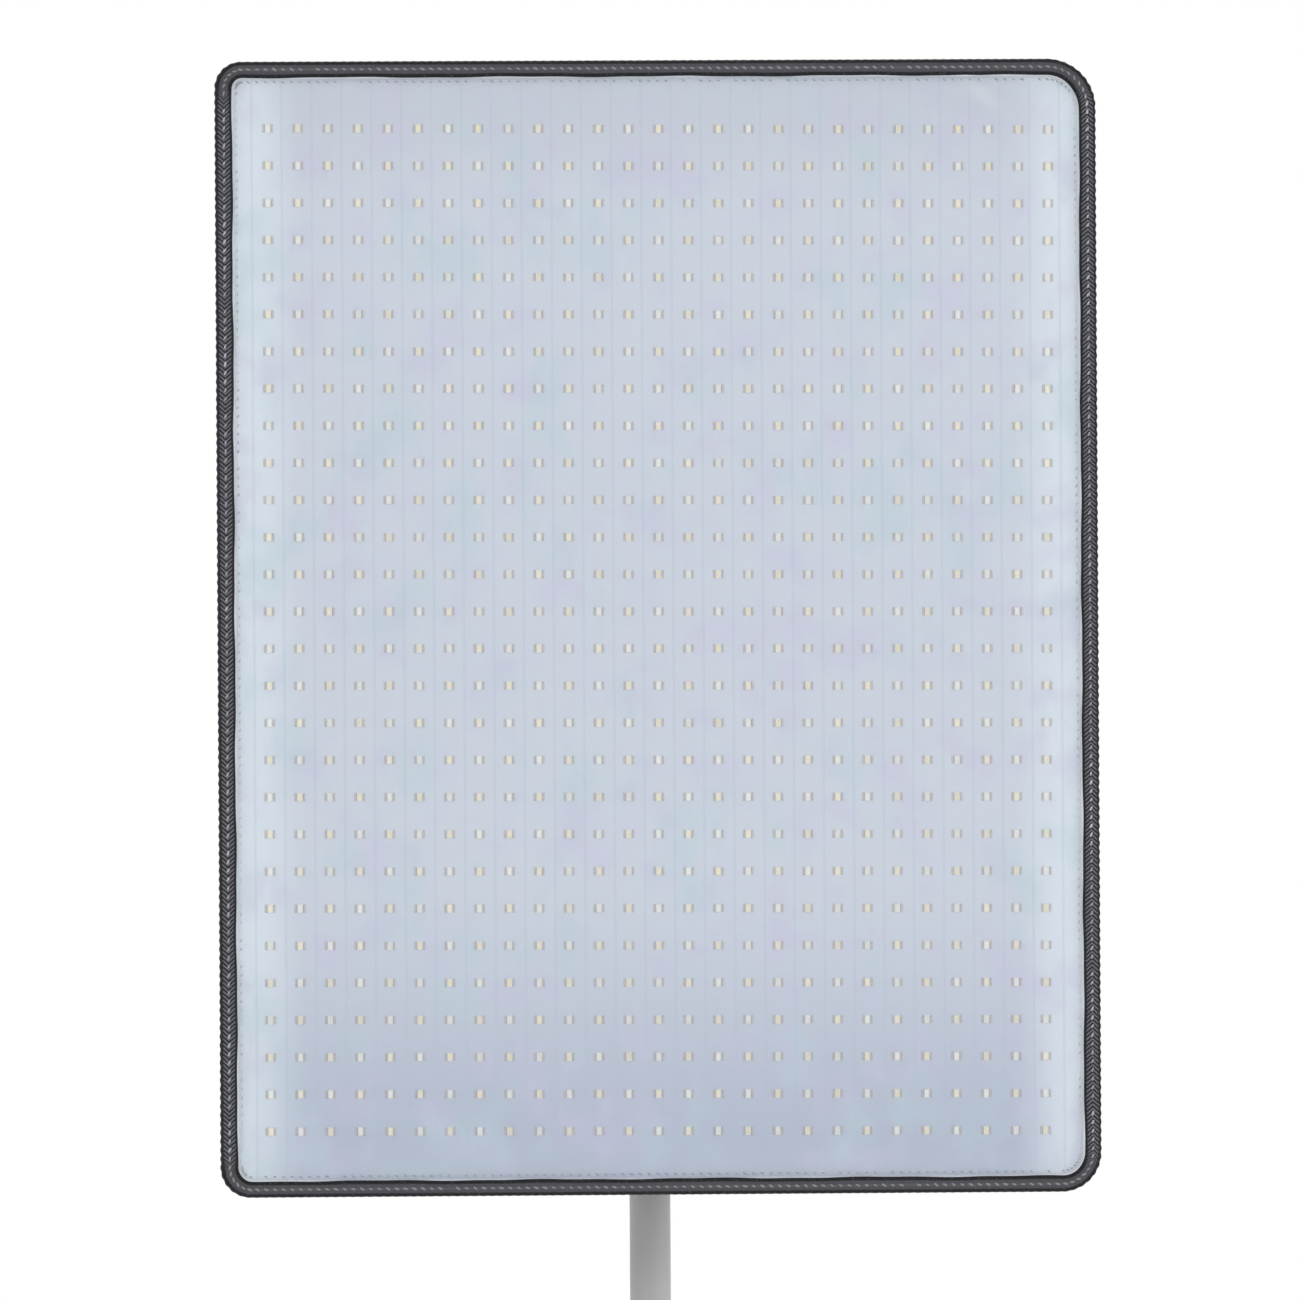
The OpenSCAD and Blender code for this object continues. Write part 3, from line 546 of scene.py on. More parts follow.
def sheet_material(name):
    """White flexible circuit: solder mask over lengthwise copper tracks."""
    g = Graph(name, Roughness=0.42, Specular_IOR_Level=0.5)
    split = g.put("SeparateXYZ", Vector=g.object)
    pitch_x = LED_X[1] - LED_X[0]
    phase = g.sums("MULTIPLY", g.sums("SUBTRACT", split.outputs["X"], LED_X[0]), math.tau / pitch_x)
    tracks = g.sums("COSINE", phase)
    gap = g.fit(tracks, -0.94, -0.985, 0.0, 0.35)
    # Its tone is mat_tones, with its painted shade towards the foot and painted highlight towards the
    # sides, seen through the film.
    g.set(
        Base_Color=g.blend(gap, mat_tones(g), FOOT_TONE),
        Roughness=g.fit(g.noise(25.0), 0.3, 0.7, 0.38, 0.5),
        Normal=g.bump(tracks, 0.2, 0.05 * MM),
    )
    return g.material


def phosphor(name, colour):
    """Silicone over phosphor grains."""
    g = Graph(name, Roughness=0.3, Specular_IOR_Level=0.5, Coat_Weight=0.4, Coat_Roughness=0.1)
    grains = g.noise(3500.0, 2.0)
    batch = g.noise(24.0, 2.0)
    base = g.blend(g.fit(batch, 0.35, 0.65), tint(colour, 0.9), tint(colour, 1.08))
    g.set(
        Base_Color=g.blend(g.fit(grains, 0.3, 0.7, 0.0, 0.3), base, tint(colour, 0.8)),
        Normal=g.bump(grains, 0.1, 0.03 * MM),
    )
    return g.material


def plain_grain(name, colour, roughness, grain, metallic=0.0):
    """A small moulded or plated piece with a fine grain."""
    g = Graph(name, Metallic=metallic, Specular_IOR_Level=0.5)
    fine = g.noise(grain, 3.0)
    g.set(
        Base_Color=g.blend(g.fit(fine, 0.3, 0.7), tint(colour, 0.85), tint(colour, 1.12)),
        Roughness=g.fit(g.noise(grain / 8, 3.0), 0.3, 0.7, roughness - 0.06, roughness + 0.08),
        Normal=g.bump(fine, 0.2, 0.05 * MM),
    )
    return g.material


POLE_GREY = srgb(190, 190, 190)
# Tones of the lit face: the foot and head tones are painted shade, and the side tone is a painted
# highlight.
MIDDLE_TONE, FOOT_TONE, HEAD_TONE = srgb(217, 224, 235), srgb(193, 202, 219), srgb(211, 218, 228)
SIDE_HIGHLIGHT_TONE = srgb(233, 242, 249)
LILAC_TONE, AQUA_TONE = srgb(213, 210, 233), srgb(200, 221, 229)
# The margin tone is the frosting's. The highlight tone is painted for the rim highlight and the crease
# highlights.
MARGIN_TONE, HIGHLIGHT_TONE = srgb(218, 227, 238), srgb(246, 250, 255)
FILM_ALPHA = 0.21
MARGIN_ALPHA = 0.24
RIM_ALPHA = 0.85
RIM_EDGE = 8.2 * MM  # where the film comes out from under the tape
BLACK = (0.017, 0.017, 0.019)

MATERIALS = {
    "anodised_tube": powder_coat("grey_powder_coat", POLE_GREY, 0.5),
    "strut_metal": powder_coat("grey_strut_coat", POLE_GREY, 0.48, worn=(0.45, 0.45, 0.46)),
    "moulded_plastic": moulded_plastic("black_moulding", BLACK, 0.5),
    "knob_plastic": moulded_plastic("knob_moulding", tint(BLACK, 0.85), 0.42),
    "foot_rubber": foot_rubber("foot_rubber"),
    "plated_steel": plated_steel("zinc_plate", (0.56, 0.57, 0.59), 0.3),
    "cast_head": wrinkle_paint("wrinkle_paint", (0.022, 0.022, 0.024)),
    "hub_paint": powder_coat("hub_paint", (0.025, 0.025, 0.028), 0.42, 1800.0, (0.28, 0.28, 0.29)),
    "rod_coating": rod_coating("rod_skin"),
    "pocket_fabric": woven("pocket_nylon", (0.028, 0.028, 0.032), 0.9 * MM),
    "back_fabric": woven("cover_nylon", (0.018, 0.018, 0.021), 0.55 * MM),
    "binding_tape": binding_material("binding_tape"),
    "film": film_material("frosted_film"),
    "warm_led": phosphor("warm_phosphor", srgb(255, 244, 208)),
    "daylight_led": phosphor("daylight_phosphor", srgb(250, 250, 240)),
    "led_sheet": sheet_material("white_solder_mask"),
    "foam": plain_grain("closed_cell_foam", (0.04, 0.04, 0.045), 0.85, 900.0),
    "insert_plastic": plain_grain("insert_moulding", (0.03, 0.03, 0.034), 0.5, 1600.0),
    "contact_metal": plain_grain("gold_flash", (0.86, 0.62, 0.25), 0.25, 2500.0, 1.0),
}


def dress_cad_nodes():
    """Gives each CAD node the material of its slot."""
    for part in frame["record"]["subparts"]:
        node = frame["nodes"].get(part["node"])
        if node is None:
            continue
        node.data.materials.clear()
        node.data.materials.append(MATERIALS[part["material_slot"]])


# ---------- the mat's pieces ----------

def cell_lines(centres, offsets, low, high, edge, step):
    """Grid lines: offsets round each centre, and evenly spaced lines over the margins beyond them."""
    first, last = centres[0] + offsets[0], centres[-1] + offsets[-1]
    inner = (centres[:, None] + np.array(offsets)[None, :]).ravel()
    start = np.arange(low + edge, first - step / 2, step)
    end = np.arange(last + step, high - edge - step / 2, step)
    return np.unique(np.round(np.concatenate([start, inner, end, [high - edge]]), 7))


BUMP_RISE = 0.42 * MM  # the film's bump over each LED
BUMP_W, BUMP_H = 3.5 * MM, 4.2 * MM  # from the LED's middle to the foot of its bump
BUMP_SLOPE = 2 * MM
ROLL_RISE = 0.42 * MM  # its roll along the tape
ROLL_CREST = 3 * MM
ROLL_W = 14 * MM
TUCK = 0.35 * MM  # how far its edge is pressed in under the tape


def film_height(x, z):
    """How far the film stands out: LED bumps, a soft roll along the binding, waves and creases."""
    flat_x, flat_z = askew(x, z, back=True)
    dx = np.abs(flat_x[..., None] - LED_X).min(-1)
    dz = np.abs(flat_z[..., None] - LED_Z).min(-1)
    bump = smooth((BUMP_W - dx) / BUMP_SLOPE) * smooth((BUMP_H - dz) / BUMP_SLOPE)
    height = BUMP_RISE * bump

    past_tape = edge_distance(x, z) - BINDING_W
    height = height + ROLL_RISE * smooth(past_tape / ROLL_CREST) * hill(past_tape - ROLL_CREST, ROLL_W)
    height = height - TUCK * smooth(-past_tape / (1 * MM))

    height = height + 0.28 * MM * waves(x, z, 11, 0.19) + 0.1 * MM * waves(x, z, 5, 0.06)

    for *crease, width, rise in CREASES:
        height = height + rise * crease_shape(x, z, *crease, width)
    return height


def crease_shape(x, z, cx, cz, angle, length, width):
    """1 along a crease's back, falling to 0 at its ends and sides."""
    a = math.radians(angle)
    u = (x - MAT_X - cx) * math.cos(a) + (z - MAT_Z - cz) * math.sin(a)
    v = -(x - MAT_X - cx) * math.sin(a) + (z - MAT_Z - cz) * math.cos(a)
    return hill(u, length / 2) * hill(v - 0.5 * u * u / length, width)


def painted_highlight(x, z):
    """Where a painted highlight lies along a crease, from 0 to 1."""
    total = 0
    for *crease, width, rise in CREASES:
        total = total + crease_shape(x, z, *crease, width * HIGHLIGHT_WIDTH) * abs(rise) / HIGHLIGHT_RISE
    return np.clip(total, 0, 1)


def side_share(x):
    """1 along the mat's sides and round its corners, 0 along the middle of its top and bottom. It sets
    where the painted rim highlight is strongest.
    """
    beside = smooth((np.abs(x - MAT_X) - MAT_W / 2 + 70 * MM) / (45 * MM))
    return np.maximum(beside, smooth((np.abs(x - MAT_X) - MAT_W / 2 + 20 * MM) / (8 * MM)))


HIGHLIGHT_WIDTH = 0.7  # width of a crease's painted highlight, as a share of its own
HIGHLIGHT_RISE = 0.9 * MM  # rise at which a crease's painted highlight is at full strength

# Creases in the film: middle from the mat's centre, direction in degrees, length, width and rise
CREASES = (
    (0.172, 0.286, -42, 0.060, 0.009, 0.75 * MM),
    (0.212, 0.232, -76, 0.080, 0.010, 0.55 * MM),
    (0.196, 0.260, -56, 0.050, 0.008, -0.35 * MM),
    (0.150, 0.272, -8, 0.090, 0.009, 0.3 * MM),
    (-0.052, -0.246, 88, 0.095, 0.007, 0.35 * MM),
    (-0.030, -0.252, 92, 0.080, 0.006, -0.3 * MM),
    (-0.008, -0.244, 90, 0.100, 0.007, 0.35 * MM),
    (0.016, -0.250, 87, 0.080, 0.006, 0.25 * MM),
    (-0.205, 0.262, 60, 0.060, 0.006, 0.35 * MM),
    (-0.200, -0.262, -50, 0.070, 0.006, 0.35 * MM),
    (0.190, -0.264, 48, 0.070, 0.007, 0.4 * MM),
)


def closed_sheet(name, x_lines, z_lines, inset, front, back_y, materials, follow_leds=False):
    """A thin closed sheet with a fine front and a plain back, cut to the mat's outline.

    front(x, z) gives the front's y. Its uv is the distance in from the outline, and along it.
    The first material is the front's, and the last one the back's. follow_leds gives the sheet
    the circuit's skew, except along its edges."""
    left, right = half_widths(z_lines, inset)
    span = (x_lines - x_lines[0]) / (x_lines[-1] - x_lines[0])
    x = MAT_X - left[:, None] + span[None, :] * (left + right)[:, None]
    straight = (left > MAT_W / 2 - inset - 1e-6) & (right > MAT_W / 2 - inset - 1e-6)
    x = np.where(straight[:, None], x_lines[None, :], x)
    z = np.repeat(z_lines[:, None], len(x_lines), axis=1)
    if follow_leds:
        moved_x, moved_z = askew(x, z)
        free = smooth((edge_distance(x, z) - 10 * MM) / (12 * MM))
        x, z = x + (moved_x - x) * free, z + (moved_z - z) * free
    y = front(x, z)
    rows, cols = x.shape
    points = np.stack([x, y, z], axis=-1).reshape(-1, 3)
    index = np.arange(rows * cols).reshape(rows, cols)
    ring = np.concatenate([index[0, :-1], index[:-1, -1], index[-1, :0:-1], index[:0:-1, 0]])
    rim = points[ring].copy()
    rim[:, 1] = back_y
    base = len(points)
    count = len(ring)
    towards_front = front(np.array([MAT_X]), np.array([MAT_Z]))[0] < back_y
    faces = grid_faces(rows, cols, flip=not towards_front)
    for i in range(count):
        j = (i + 1) % count
        quad = [int(ring[j]), int(ring[i]), base + i, base + j]
        faces.append(quad if towards_front else quad[::-1])
    cap = [base + i for i in range(count)]
    faces.append(cap[::-1] if towards_front else cap)
    points = np.concatenate([points, rim])
    inside = edge_distance(points[:, 0], points[:, 2])
    upright = MAT_W / 2 - np.abs(points[:, 0] - MAT_X) < MAT_H / 2 - np.abs(points[:, 2] - MAT_Z)
    along = np.where(upright, points[:, 2], points[:, 0])
    slots = [0] * (len(faces) - count - 1) + [len(materials) - 1] * (count + 1)
    uv = np.stack([inside, along], axis=1)
    piece = make_piece(name, points, faces, materials, uv=uv, face_materials=slots)
    for polygon in piece.data.polygons[-count - 1:]:
        polygon.use_smooth = False
    return piece


def make_film():
    """The film, with grid lines where its bump over each LED begins, bends and ends."""
    across = np.array([-6.4, -3.9, -2.6, -1.7, 0, 1.7, 2.6, 3.9, 6.4]) * MM
    upwards = np.array([-8.6, -6.4, -4.4, -3.3, -2.2, 0, 2.2, 3.3, 4.4, 6.4, 8.6]) * MM
    inset = SHEET_INSET
    x_lines = cell_lines(LED_X, across, edge_low.x, edge_high.x, inset, 1.1 * MM)
    z_lines = cell_lines(LED_Z, upwards, edge_low.z, edge_high.z, inset, 1.1 * MM)
    film = closed_sheet(
        "film", x_lines, z_lines, inset, lambda x, z: FILM_Y - film_height(x, z), film_high.y,
        [MATERIALS["film"], FILM_BACK], follow_leds=True,
    )
    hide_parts("diffuser_film")
    points = np.empty(len(film.data.vertices) * 3)
    film.data.vertices.foreach_get("co", points)
    x, _, z = points.reshape(-1, 3).T
    # A uv layer of painted highlights: along the creases, and the sides' share for the rim highlight.
    add_uv(film.data, "painted_highlight", np.stack([painted_highlight(x, z), side_share(x)], axis=1))


def make_back_cover():
    """Nylon back, pulled towards the pockets and slack between them."""
    x_lines = np.linspace(edge_low.x + SHEET_INSET, edge_high.x - SHEET_INSET, 150)
    z_lines = np.linspace(edge_low.z + SHEET_INSET, edge_high.z - SHEET_INSET, 190)

    def back(x, z):
        inside = edge_distance(x, z)
        u, w = np.abs(x - MAT_X) / MAT_W * 2, np.abs(z - MAT_Z) / MAT_H * 2
        pull = smooth((u + w - 1.0) / 0.9)
        ray = np.sin((u - w) * 26) * pull * 0.3 * MM
        slack = 0.5 * MM * waves(x, z, 3, 0.16) + 0.2 * MM * waves(x, z, 8, 0.05)
        roll = 0.5 * MM * hill(inside - BINDING_W - 3 * MM, 6 * MM)
        free = smooth((inside - BINDING_W) / (4 * MM))
        return COVER_Y + (ray + slack) * free * 0.6 + roll * free - 0.4 * MM * (1 - free)

    cover = closed_sheet(
        "cover", x_lines, z_lines, SHEET_INSET, back, cover_low.y, [MATERIALS["back_fabric"]]
    )
    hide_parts("back_cover")


def tape_profile():
    """The binding's closed cross-section, as inset from the outline and y, with uv across the tape."""
    front, back = edge_low.y, edge_high.y
    film, cover = FILM_Y, COVER_Y
    face = [
        (8.0, 0.15), (7.6, 0.8), (6.6, 1.12), (5.3, 1.15),
        (4.1, 0.95), (2.9, 1.18), (1.7, 1.1), (0.7, 0.75),
    ]
    rows = [(i * MM, film - 0.1 * MM - h * MM, i * MM) for i, h in face]
    middle = (front + back) / 2
    rows += [(0.12 * MM, front + 1.4 * MM, -0.8 * MM), (0.0, middle, -2.5 * MM)]
    rows += [(0.12 * MM, back - 1.4 * MM, -0.8 * MM)]
    rows += [(i * MM, cover + 0.1 * MM + h * MM, i * MM) for i, h in face[::-1]]
    rows += [(8.0 * MM, cover - 0.2 * MM, 8.2 * MM), (1.4 * MM, cover - 0.2 * MM, 1.4 * MM)]
    rows += [(1.4 * MM, film + 0.2 * MM, 1.4 * MM), (8.0 * MM, film + 0.2 * MM, 8.2 * MM)]
    return np.array(rows)


def stitch_count():
    """A whole number of stitches round the mat."""
    return round(outline(8)[3] / STITCH_PITCH)


def make_binding():
    """Woven tape folded round the edge, with scallops and chevron ribs at the stitch pitch."""
    pitches = stitch_count()
    count = pitches * POINTS_PER_STITCH
    points, normal, at, total = outline(count)
    profile = tape_profile()
    phase = at / total * pitches * math.tau
    upright = np.abs(normal[:, 0])
    rib = 0.3 + 0.7 * upright
    inset = profile[None, :, 0] + np.zeros((count, 1))
    y = profile[None, :, 1] + np.zeros((count, 1))
    outer = hill(profile[:, 0], 2.5 * MM)[None, :]
    scallop = 0.5 * (1 + np.cos(phase))[:, None]
    inset = inset - (0.35 + 0.45 * scallop) * MM * outer * rib[:, None]
    bend = np.abs(profile[:, 0] - 0.5 * BINDING_W)
    chevron = np.cos(phase[:, None] * 2 + (bend / STITCH_PITCH * 2 * math.tau)[None, :])
    on_face = ((profile[:, 0] > 0.5 * MM) & (profile[:, 0] < 7.9 * MM) & (profile[:, 2] < 8 * MM))[None, :]
    lift = 0.16 * MM * chevron * rib[:, None] * on_face
    side = np.sign((edge_low.y + edge_high.y) / 2 - y)
    y = y - side * lift
    ripple = 0.25 * MM * np.sin(phase / 19 + 1.3) + 0.12 * MM * np.sin(phase / 7.3)
    inset = inset + ((ripple[:, None] + 0.5 * MM) * hill(profile[:, 0] - BINDING_W, 5 * MM)[None, :])
    x = points[:, 0, None] - normal[:, 0, None] * inset
    z = points[:, 1, None] - normal[:, 1, None] * inset
    verts = np.stack([x, y, z], axis=-1).reshape(-1, 3)
    faces = grid_faces(count, len(profile), close_rows=True, close_cols=True, flip=True)
    uv = np.stack([np.repeat(at[:, None], len(profile), 1), np.repeat(profile[None, :, 2], count, 0)], -1)
    tape = make_piece("binding", verts, faces, [MATERIALS["binding_tape"]], uv=uv.reshape(-1, 2))
    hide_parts("edge_binding")


def make_stitches(name, inset, y, out, length, width, height, colour, skip=0.0):
    """A row of thread loops round the mat, each a low half-lens on the tape or film.

    out is -1 on the lit face and 1 on the back, and skip is the share of stitches left out."""
    pitches = stitch_count()
    points, normal, _, _ = outline(pitches, inset)
    rng = np.random.default_rng(int(inset * 1e6) + 7)
    rings, sides = 4, 10
    lens = []
    for r in range(rings):
        tilt = math.pi / 2 * r / rings
        for s in range(sides):
            a = math.tau * s / sides
            lens.append((math.cos(tilt) * math.cos(a), math.cos(tilt) * math.sin(a), math.sin(tilt)))
    lens.append((0, 0, 1))
    lens = np.array(lens)
    verts, faces = [], []
    for p, n in zip(points, normal):
        if rng.random() < skip:
            continue
        along = np.array([-n[1], n[0]])
        slant = rng.normal(0.45, 0.12)
        direction = along * math.cos(slant) + n * math.sin(slant)
        cross = np.array([-direction[1], direction[0]])
        size = rng.uniform(0.85, 1.1)
        start = len(verts)
        for a, b, c in lens:
            xz = p + direction * a * length / 2 * size + cross * b * width / 2 * size
            verts.append((xz[0], y + out * c * height, xz[1]))
        shape = grid_faces(rings, sides, start, close_cols=True, flip=out > 0)
        top = start + len(lens) - 1
        ring = start + (rings - 1) * sides
        for s in range(sides):
            tri = [ring + s, ring + (s + 1) % sides, top]
            shape.append(tri[::-1] if out > 0 else tri)
        floor = [start + s for s in range(sides)]
        shape.append(floor if out > 0 else floor[::-1])
        faces += shape
    piece = make_piece(name, verts, faces, [colour])


BODY, PHOSPHOR, PAD = 0, 1, 2  # material numbers of an LED package
PAD_OUT = 0.75 * MM  # from the package's side to its solder pad's middle
PAD_W = 1.3 * MM
PAD_TOP_W = 0.9 * MM
PAD_RISE = 0.3 * MM
LENS_DEPTH = 0.15 * MM


def make_led_packages(name, parity, node, glow):
    """LED packages: a white body with a sloped reflector round the phosphor, and a solder pad each side."""
    verts, faces, kinds = [], [], []

    def ring(cx, cz, w, h, y):
        start = len(verts)
        for sx, sz in ((-1, -1), (1, -1), (1, 1), (-1, 1)):
            verts.append((cx + sx * w / 2, y, cz + sz * h / 2))
        return start

    def strip(a, b, kind):
        for k in range(4):
            faces.append([a + k, a + (k + 1) % 4, b + (k + 1) % 4, b + k])
            kinds.append(kind)

    def cap(start, kind, back=False):
        corners = [start, start + 1, start + 2, start + 3]
        faces.append(corners[::-1] if back else corners)
        kinds.append(kind)

    for row, line_z in enumerate(LED_Z):
        for col, line_x in enumerate(LED_X):
            if (row + col) % 2 != parity:
                continue
            cx, cz = askew(line_x, line_z)
            foot = ring(cx, cz, LED_W, LED_H, LED_BACK_Y)
            lip = ring(cx, cz, LED_W * 0.94, LED_H * 0.96, LED_FRONT_Y)
            mouth = ring(cx, cz, LED_W * 0.74, LED_H * 0.82, LED_FRONT_Y)
            lens = ring(cx, cz, LED_W * 0.66, LED_H * 0.76, LED_FRONT_Y + LENS_DEPTH)
            strip(foot, lip, BODY)
            strip(lip, mouth, BODY)
            strip(mouth, lens, BODY)
            cap(lens, PHOSPHOR)
            cap(foot, BODY, back=True)
            for side in (-1, 1):
                px = cx + side * (LED_W / 2 + PAD_OUT)
                low = ring(px, cz, PAD_W, LED_H * 0.92, LED_BACK_Y)
                top = ring(px, cz, PAD_TOP_W, LED_H * 0.8, LED_BACK_Y - PAD_RISE)
                strip(low, top, PAD)
                cap(top, PAD)
                cap(low, PAD, back=True)
    piece = make_piece(name, verts, faces, [PACKAGE_WHITE, glow, SOLDER], face_materials=kinds, flat=True)
    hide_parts(node)


FILM_BACK = film_back_material("film_back")
PACKAGE_WHITE = plain_grain("package_white", srgb(236, 236, 232), 0.35, 2500.0)
SOLDER = plain_grain("solder", srgb(198, 191, 188), 0.4, 3000.0)
PALE_THREAD = thread_material("pale_thread", srgb(190, 190, 197))
DARK_THREAD = thread_material("dark_thread", srgb(70, 70, 76))
CLEAR_THREAD = thread_material("clear_thread", srgb(212, 220, 232))


POCKET_LEG = 66 * MM
POCKET_RISE = 11 * MM
TENT_SPREAD = 0.34  # how far the tent reaches sideways, as a share of the leg
SEWN_W = 20 * MM  # how far from a sewn edge the cloth comes free
FOLD_RISE = 0.35 * MM
FOLD_RATE = 60  # radians of its small folds per leg
HEM_RADIUS = 1.1 * MM
SEAM_IN = 3.2 * MM  # from the sewn edge
SEAM_PITCH = 3.2 * MM


def make_pocket(number, side_x, side_z):
    """A triangular nylon pocket, sewn down along the mat's two edges and tented over the rod's tip."""
    pocket_low, pocket_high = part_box("corner_pockets")
    corner_x = pocket_high.x if side_x > 0 else pocket_low.x
    corner_z = pocket_high.z if side_z > 0 else pocket_low.z
    corner = Vector((corner_x, 0, corner_z))
    steps = 34
    radius = next(c[3] for c in CORNERS if c[0] == side_x and c[1] == side_z)
    radius = max(radius - 10 * MM, 4 * MM)
    verts, index = [], {}
    for i in range(steps + 1):
        for j in range(steps + 1 - i):
            u, v = i / steps * POCKET_LEG, j / steps * POCKET_LEG
            if u < radius and v < radius:
                away = math.hypot(radius - u, radius - v)
                scale = max(radius - u, radius - v) / away
                u, v = radius - (radius - u) * scale, radius - (radius - v) * scale
            index[i, j] = len(verts)
            spread = abs(u - v) / POCKET_LEG
            open_share = float(smooth((u + v) / POCKET_LEG))
            tent = math.exp(-((spread / TENT_SPREAD) ** 2))
            sewn = float(smooth(min(u, v) / SEWN_W))
            rise = POCKET_RISE * tent * sewn * (0.45 + 0.55 * open_share)
            fold = FOLD_RISE * math.sin(spread * FOLD_RATE) * open_share * sewn
            rise = max(rise + fold, FOLD_RISE)
            verts.append((corner.x - side_x * u, COVER_Y + rise, corner.z - side_z * v))
    faces = []
    mirrored = side_x * side_z > 0
    for i in range(steps):
        for j in range(steps - i):
            a, b, c = index[i, j], index[i + 1, j], index[i, j + 1]
            faces.append([a, b, c] if mirrored else [a, c, b])
            if (i + 1, j + 1) in index:
                d = index[i + 1, j + 1]
                faces.append([b, d, c] if mirrored else [b, c, d])
    pocket = make_piece(f"pocket_{number}", verts, faces, [MATERIALS["pocket_fabric"]])
    thick = pocket.modifiers.new("cloth", "SOLIDIFY")
    thick.thickness = 0.6 * MM
    thick.offset = 1
    apply_modifiers(pocket)
    return pocket, corner


def apply_modifiers(piece):
    """Leaves the piece with its final mesh and no modifiers."""
    graph = bpy.context.evaluated_depsgraph_get()
    mesh = bpy.data.meshes.new_from_object(piece.evaluated_get(graph))
    piece.modifiers.clear()
    piece.data = mesh


def tube_along(path, radius, sides=8):
    """Points and faces of a capped round tube along a path."""
    path = np.asarray(path)
    verts, faces = [], []
    tangent = np.gradient(path, axis=0)
    tangent /= np.linalg.norm(tangent, axis=1)[:, None]
    up = np.array([0.0, 1.0, 0.0])
    for p, t in zip(path, tangent):
        side = np.cross(t, up)
        side /= np.linalg.norm(side)
        top = np.cross(side, t)
        for k in range(sides):
            a = math.tau * k / sides
            verts.append(p + radius * (math.cos(a) * side + math.sin(a) * top))
    faces = grid_faces(len(path), sides, close_cols=True)
    last = (len(path) - 1) * sides
    faces.append(list(range(sides)))
    faces.append([last + k for k in range(sides)][::-1])
    return verts, faces


def make_hem(number, side_x, side_z, corner):
    """The pocket's open edge, turned over into a round hem."""
    share = np.linspace(0, 1, 60)
    u, v = share * POCKET_LEG, (1 - share) * POCKET_LEG
    spread = np.abs(u - v) / POCKET_LEG
    sewn = smooth(np.minimum(u, v) / SEWN_W)
    rise = POCKET_RISE * np.exp(-((spread / TENT_SPREAD) ** 2)) + FOLD_RISE * np.sin(spread * FOLD_RATE)
    rise = np.maximum(rise * sewn, FOLD_RISE) + 0.3 * MM
    path = np.stack([corner.x - side_x * u, COVER_Y + rise, corner.z - side_z * v], axis=1)
    verts, faces = tube_along(path, HEM_RADIUS)
    hem = make_piece(f"pocket_hem_{number}", verts, faces, [MATERIALS["pocket_fabric"]])
    return hem


def make_seam(number, side_x, side_z, corner):
    """Stitches along the pocket's two sewn edges."""
    verts, faces = [], []
    for along_x in (True, False):
        for start in np.arange(8 * MM, POCKET_LEG - 3 * MM, SEAM_PITCH):
            path = []
            for step, rise in ((0, 1.0), (1.1, 1.35), (2.2, 1.0)):
                d = start + step * MM
                u, v = (d, SEAM_IN) if along_x else (SEAM_IN, d)
                path.append((corner.x - side_x * u, COVER_Y + rise * MM, corner.z - side_z * v))
            points, shape = tube_along(path, 0.28 * MM, 6)
            faces += [[i + len(verts) for i in face] for face in shape]
            verts += points
    seam = make_piece(f"pocket_seam_{number}", verts, faces, [DARK_THREAD])
    return seam


def make_pockets():
    """Four pockets, each with its hem and seam. The first stands in for the CAD node."""
    for number, (side_x, side_z) in enumerate(((1, 1), (-1, 1), (-1, -1), (1, -1)), 1):
        pocket, corner = make_pocket(number, side_x, side_z)
        if number == 1:
            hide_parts("corner_pockets")
        trim = [make_hem(number, side_x, side_z, corner), make_seam(number, side_x, side_z, corner)]


# ---------- stage, light and camera ----------

FRAME_W = 0.6935  # width of the picture at the mat's face
CAMERA_AWAY = 12.0
SENSOR_W = 36.0
MAT_RIGHT = 4.8 * MM  # the mat's middle from the picture's middle
MAT_UP = 12.0 * MM
CAMERA_TURN = math.radians(-4.2)  # the camera stands a little to the mat's left
CAMERA_ROLL = math.radians(-0.33)


def make_camera():
    """A long lens, square to the mat's face but for its small turn and roll."""
    camera = bpy.data.objects.new("camera", bpy.data.cameras.new("camera"))
    bpy.context.scene.collection.objects.link(camera)
    camera.data.sensor_width = SENSOR_W
    camera.data.lens = SENSOR_W * CAMERA_AWAY / FRAME_W
    camera.data.clip_end = 100
    away = Vector((math.sin(CAMERA_TURN), -math.cos(CAMERA_TURN), 0))
    right = Vector((math.cos(CAMERA_TURN), math.sin(CAMERA_TURN), 0))
    target = Vector((MAT_X, FILM_Y, MAT_Z)) - right * MAT_RIGHT - Vector((0, 0, MAT_UP))
    camera.location = target + away * CAMERA_AWAY
    facing = (-away).to_track_quat("-Z", "Y").to_matrix().to_4x4()
    camera.rotation_euler = (facing @ Matrix.Rotation(CAMERA_ROLL, 4, "Z")).to_euler()
    bpy.context.scene.camera = camera


def make_light(name, place, target, size, power):
    """A white softbox."""
    light = bpy.data.lights.new(name, "AREA")
    light.size = size
    light.energy = power
    lamp = bpy.data.objects.new(name, light)
    lamp.location = place
    lamp.rotation_euler = (Vector(target) - Vector(place)).to_track_quat("-Z", "Y").to_euler()
    bpy.context.scene.collection.objects.link(lamp)


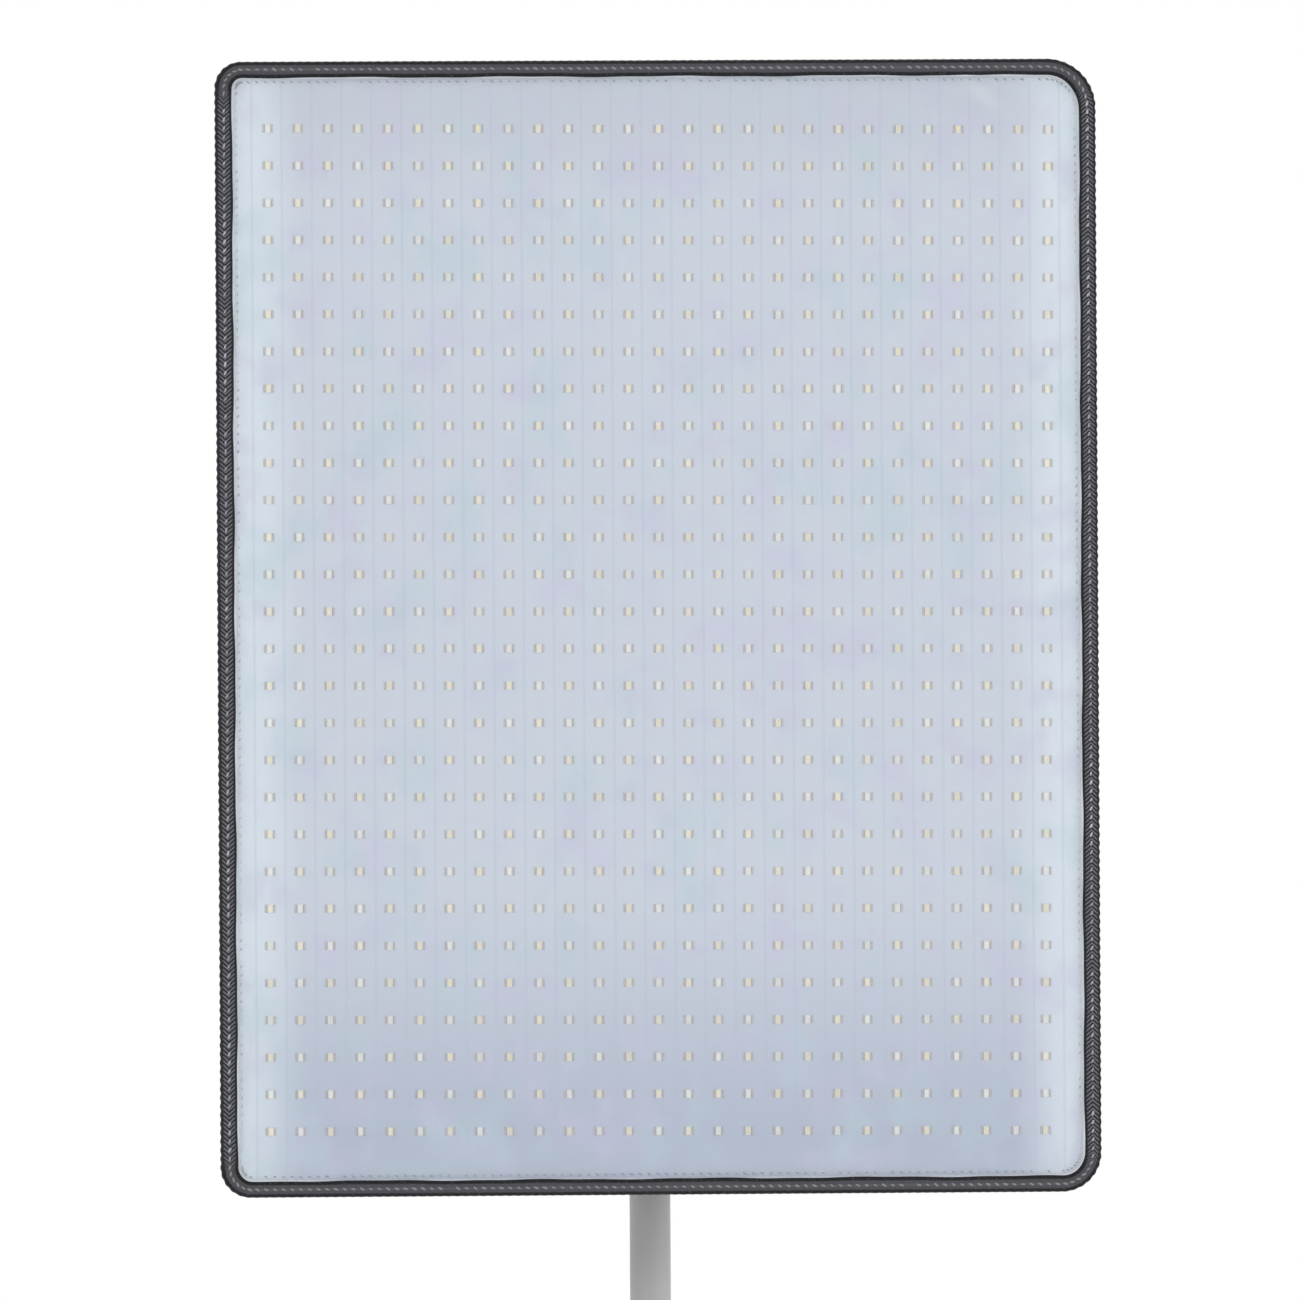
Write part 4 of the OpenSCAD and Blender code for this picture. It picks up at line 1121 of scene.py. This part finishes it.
def make_world():
    """White for the eye, and softer behind the camera, so that gloss has something to show."""
    world = bpy.data.worlds.new("studio")
    bpy.context.scene.world = world
    world.use_nodes = True
    tree = world.node_tree
    tree.nodes.clear()
    out = tree.nodes.new("ShaderNodeOutputWorld")
    seen = tree.nodes.new("ShaderNodeBackground")
    lit = tree.nodes.new("ShaderNodeBackground")
    choice = tree.nodes.new("ShaderNodeMixShader")
    path = tree.nodes.new("ShaderNodeLightPath")
    seen.inputs["Color"].default_value = (1, 1, 1, 1)
    seen.inputs["Strength"].default_value = 1.0
    direction = tree.nodes.new("ShaderNodeTexCoord")
    split = tree.nodes.new("ShaderNodeSeparateXYZ")
    ramp = tree.nodes.new("ShaderNodeMapRange")
    ramp.inputs["From Min"].default_value = -0.9
    ramp.inputs["From Max"].default_value = 0.5
    ramp.inputs["To Min"].default_value = 0.72
    ramp.inputs["To Max"].default_value = 1.0
    tree.links.new(direction.outputs["Generated"], split.inputs[0])
    tree.links.new(split.outputs["Y"], ramp.inputs["Value"])
    tree.links.new(ramp.outputs[0], lit.inputs["Strength"])
    tree.links.new(path.outputs["Is Camera Ray"], choice.inputs[0])
    tree.links.new(lit.outputs[0], choice.inputs[1])
    tree.links.new(seen.outputs[0], choice.inputs[2])
    tree.links.new(choice.outputs[0], out.inputs[0])


FLOOR_RADIUS = 5.0
FADE_START, FADE_END = 1.3, 4.6  # the floor fades into the white round it


def make_floor():
    """A pale round floor."""
    mesh = bpy.data.meshes.new("floor")
    count = 96
    angles = [math.tau * k / count for k in range(count)]
    ring = [(FLOOR_RADIUS * math.cos(a), FLOOR_RADIUS * math.sin(a), 0) for a in angles]
    mesh.from_pydata(ring, [], [list(range(count))])
    g = Graph("pale_floor", Specular_IOR_Level=0.2)
    away = g.put("VectorMath", operation="LENGTH")
    g.feed(away.inputs[0], g.object)
    g.set(
        Alpha=g.fit(away.outputs["Value"], FADE_START, FADE_END, 1.0, 0.0),
        Base_Color=g.blend(g.fit(g.noise(3.0), 0.3, 0.7), (0.88, 0.88, 0.88), (0.9, 0.9, 0.9)),
        Roughness=g.fit(g.noise(9.0), 0.3, 0.7, 0.6, 0.75),
    )
    mesh.materials.append(g.material)
    floor = bpy.data.objects.new("floor", mesh)
    bpy.context.scene.collection.objects.link(floor)


bpy.context.scene.view_settings.view_transform = "Standard"
make_camera()
make_world()
make_floor()
make_light("key", (-2.2, -2.4, 2.8), (0, 0, 0.95), 1.8, 34)
make_light("fill", (2.4, -1.8, 1.2), (0, 0, 0.9), 1.6, 20)
make_light("back", (1.2, 2.2, 2.3), (0, 0.1, 0.8), 1.4, 26)

dress_cad_nodes()
make_film()
make_back_cover()
make_binding()
make_stitches(
    "front_stitches", TAPE_SEAM, FILM_Y - 1.0 * MM, -1, 2.9 * MM, 1.3 * MM, 0.6 * MM, PALE_THREAD, 0.04
)
make_stitches("back_stitches", TAPE_SEAM, COVER_Y + 0.95 * MM, 1, 2.7 * MM, 1.4 * MM, 0.5 * MM, DARK_THREAD)
make_stitches(
    "film_stitches", FILM_SEAM, FILM_Y - 0.35 * MM, -1, 2.0 * MM, 0.9 * MM, 0.3 * MM, CLEAR_THREAD, 0.1
)
make_led_packages("warm_packages", 0, "warm_leds", MATERIALS["warm_led"])
make_led_packages("daylight_packages", 1, "daylight_leds", MATERIALS["daylight_led"])
make_pockets()
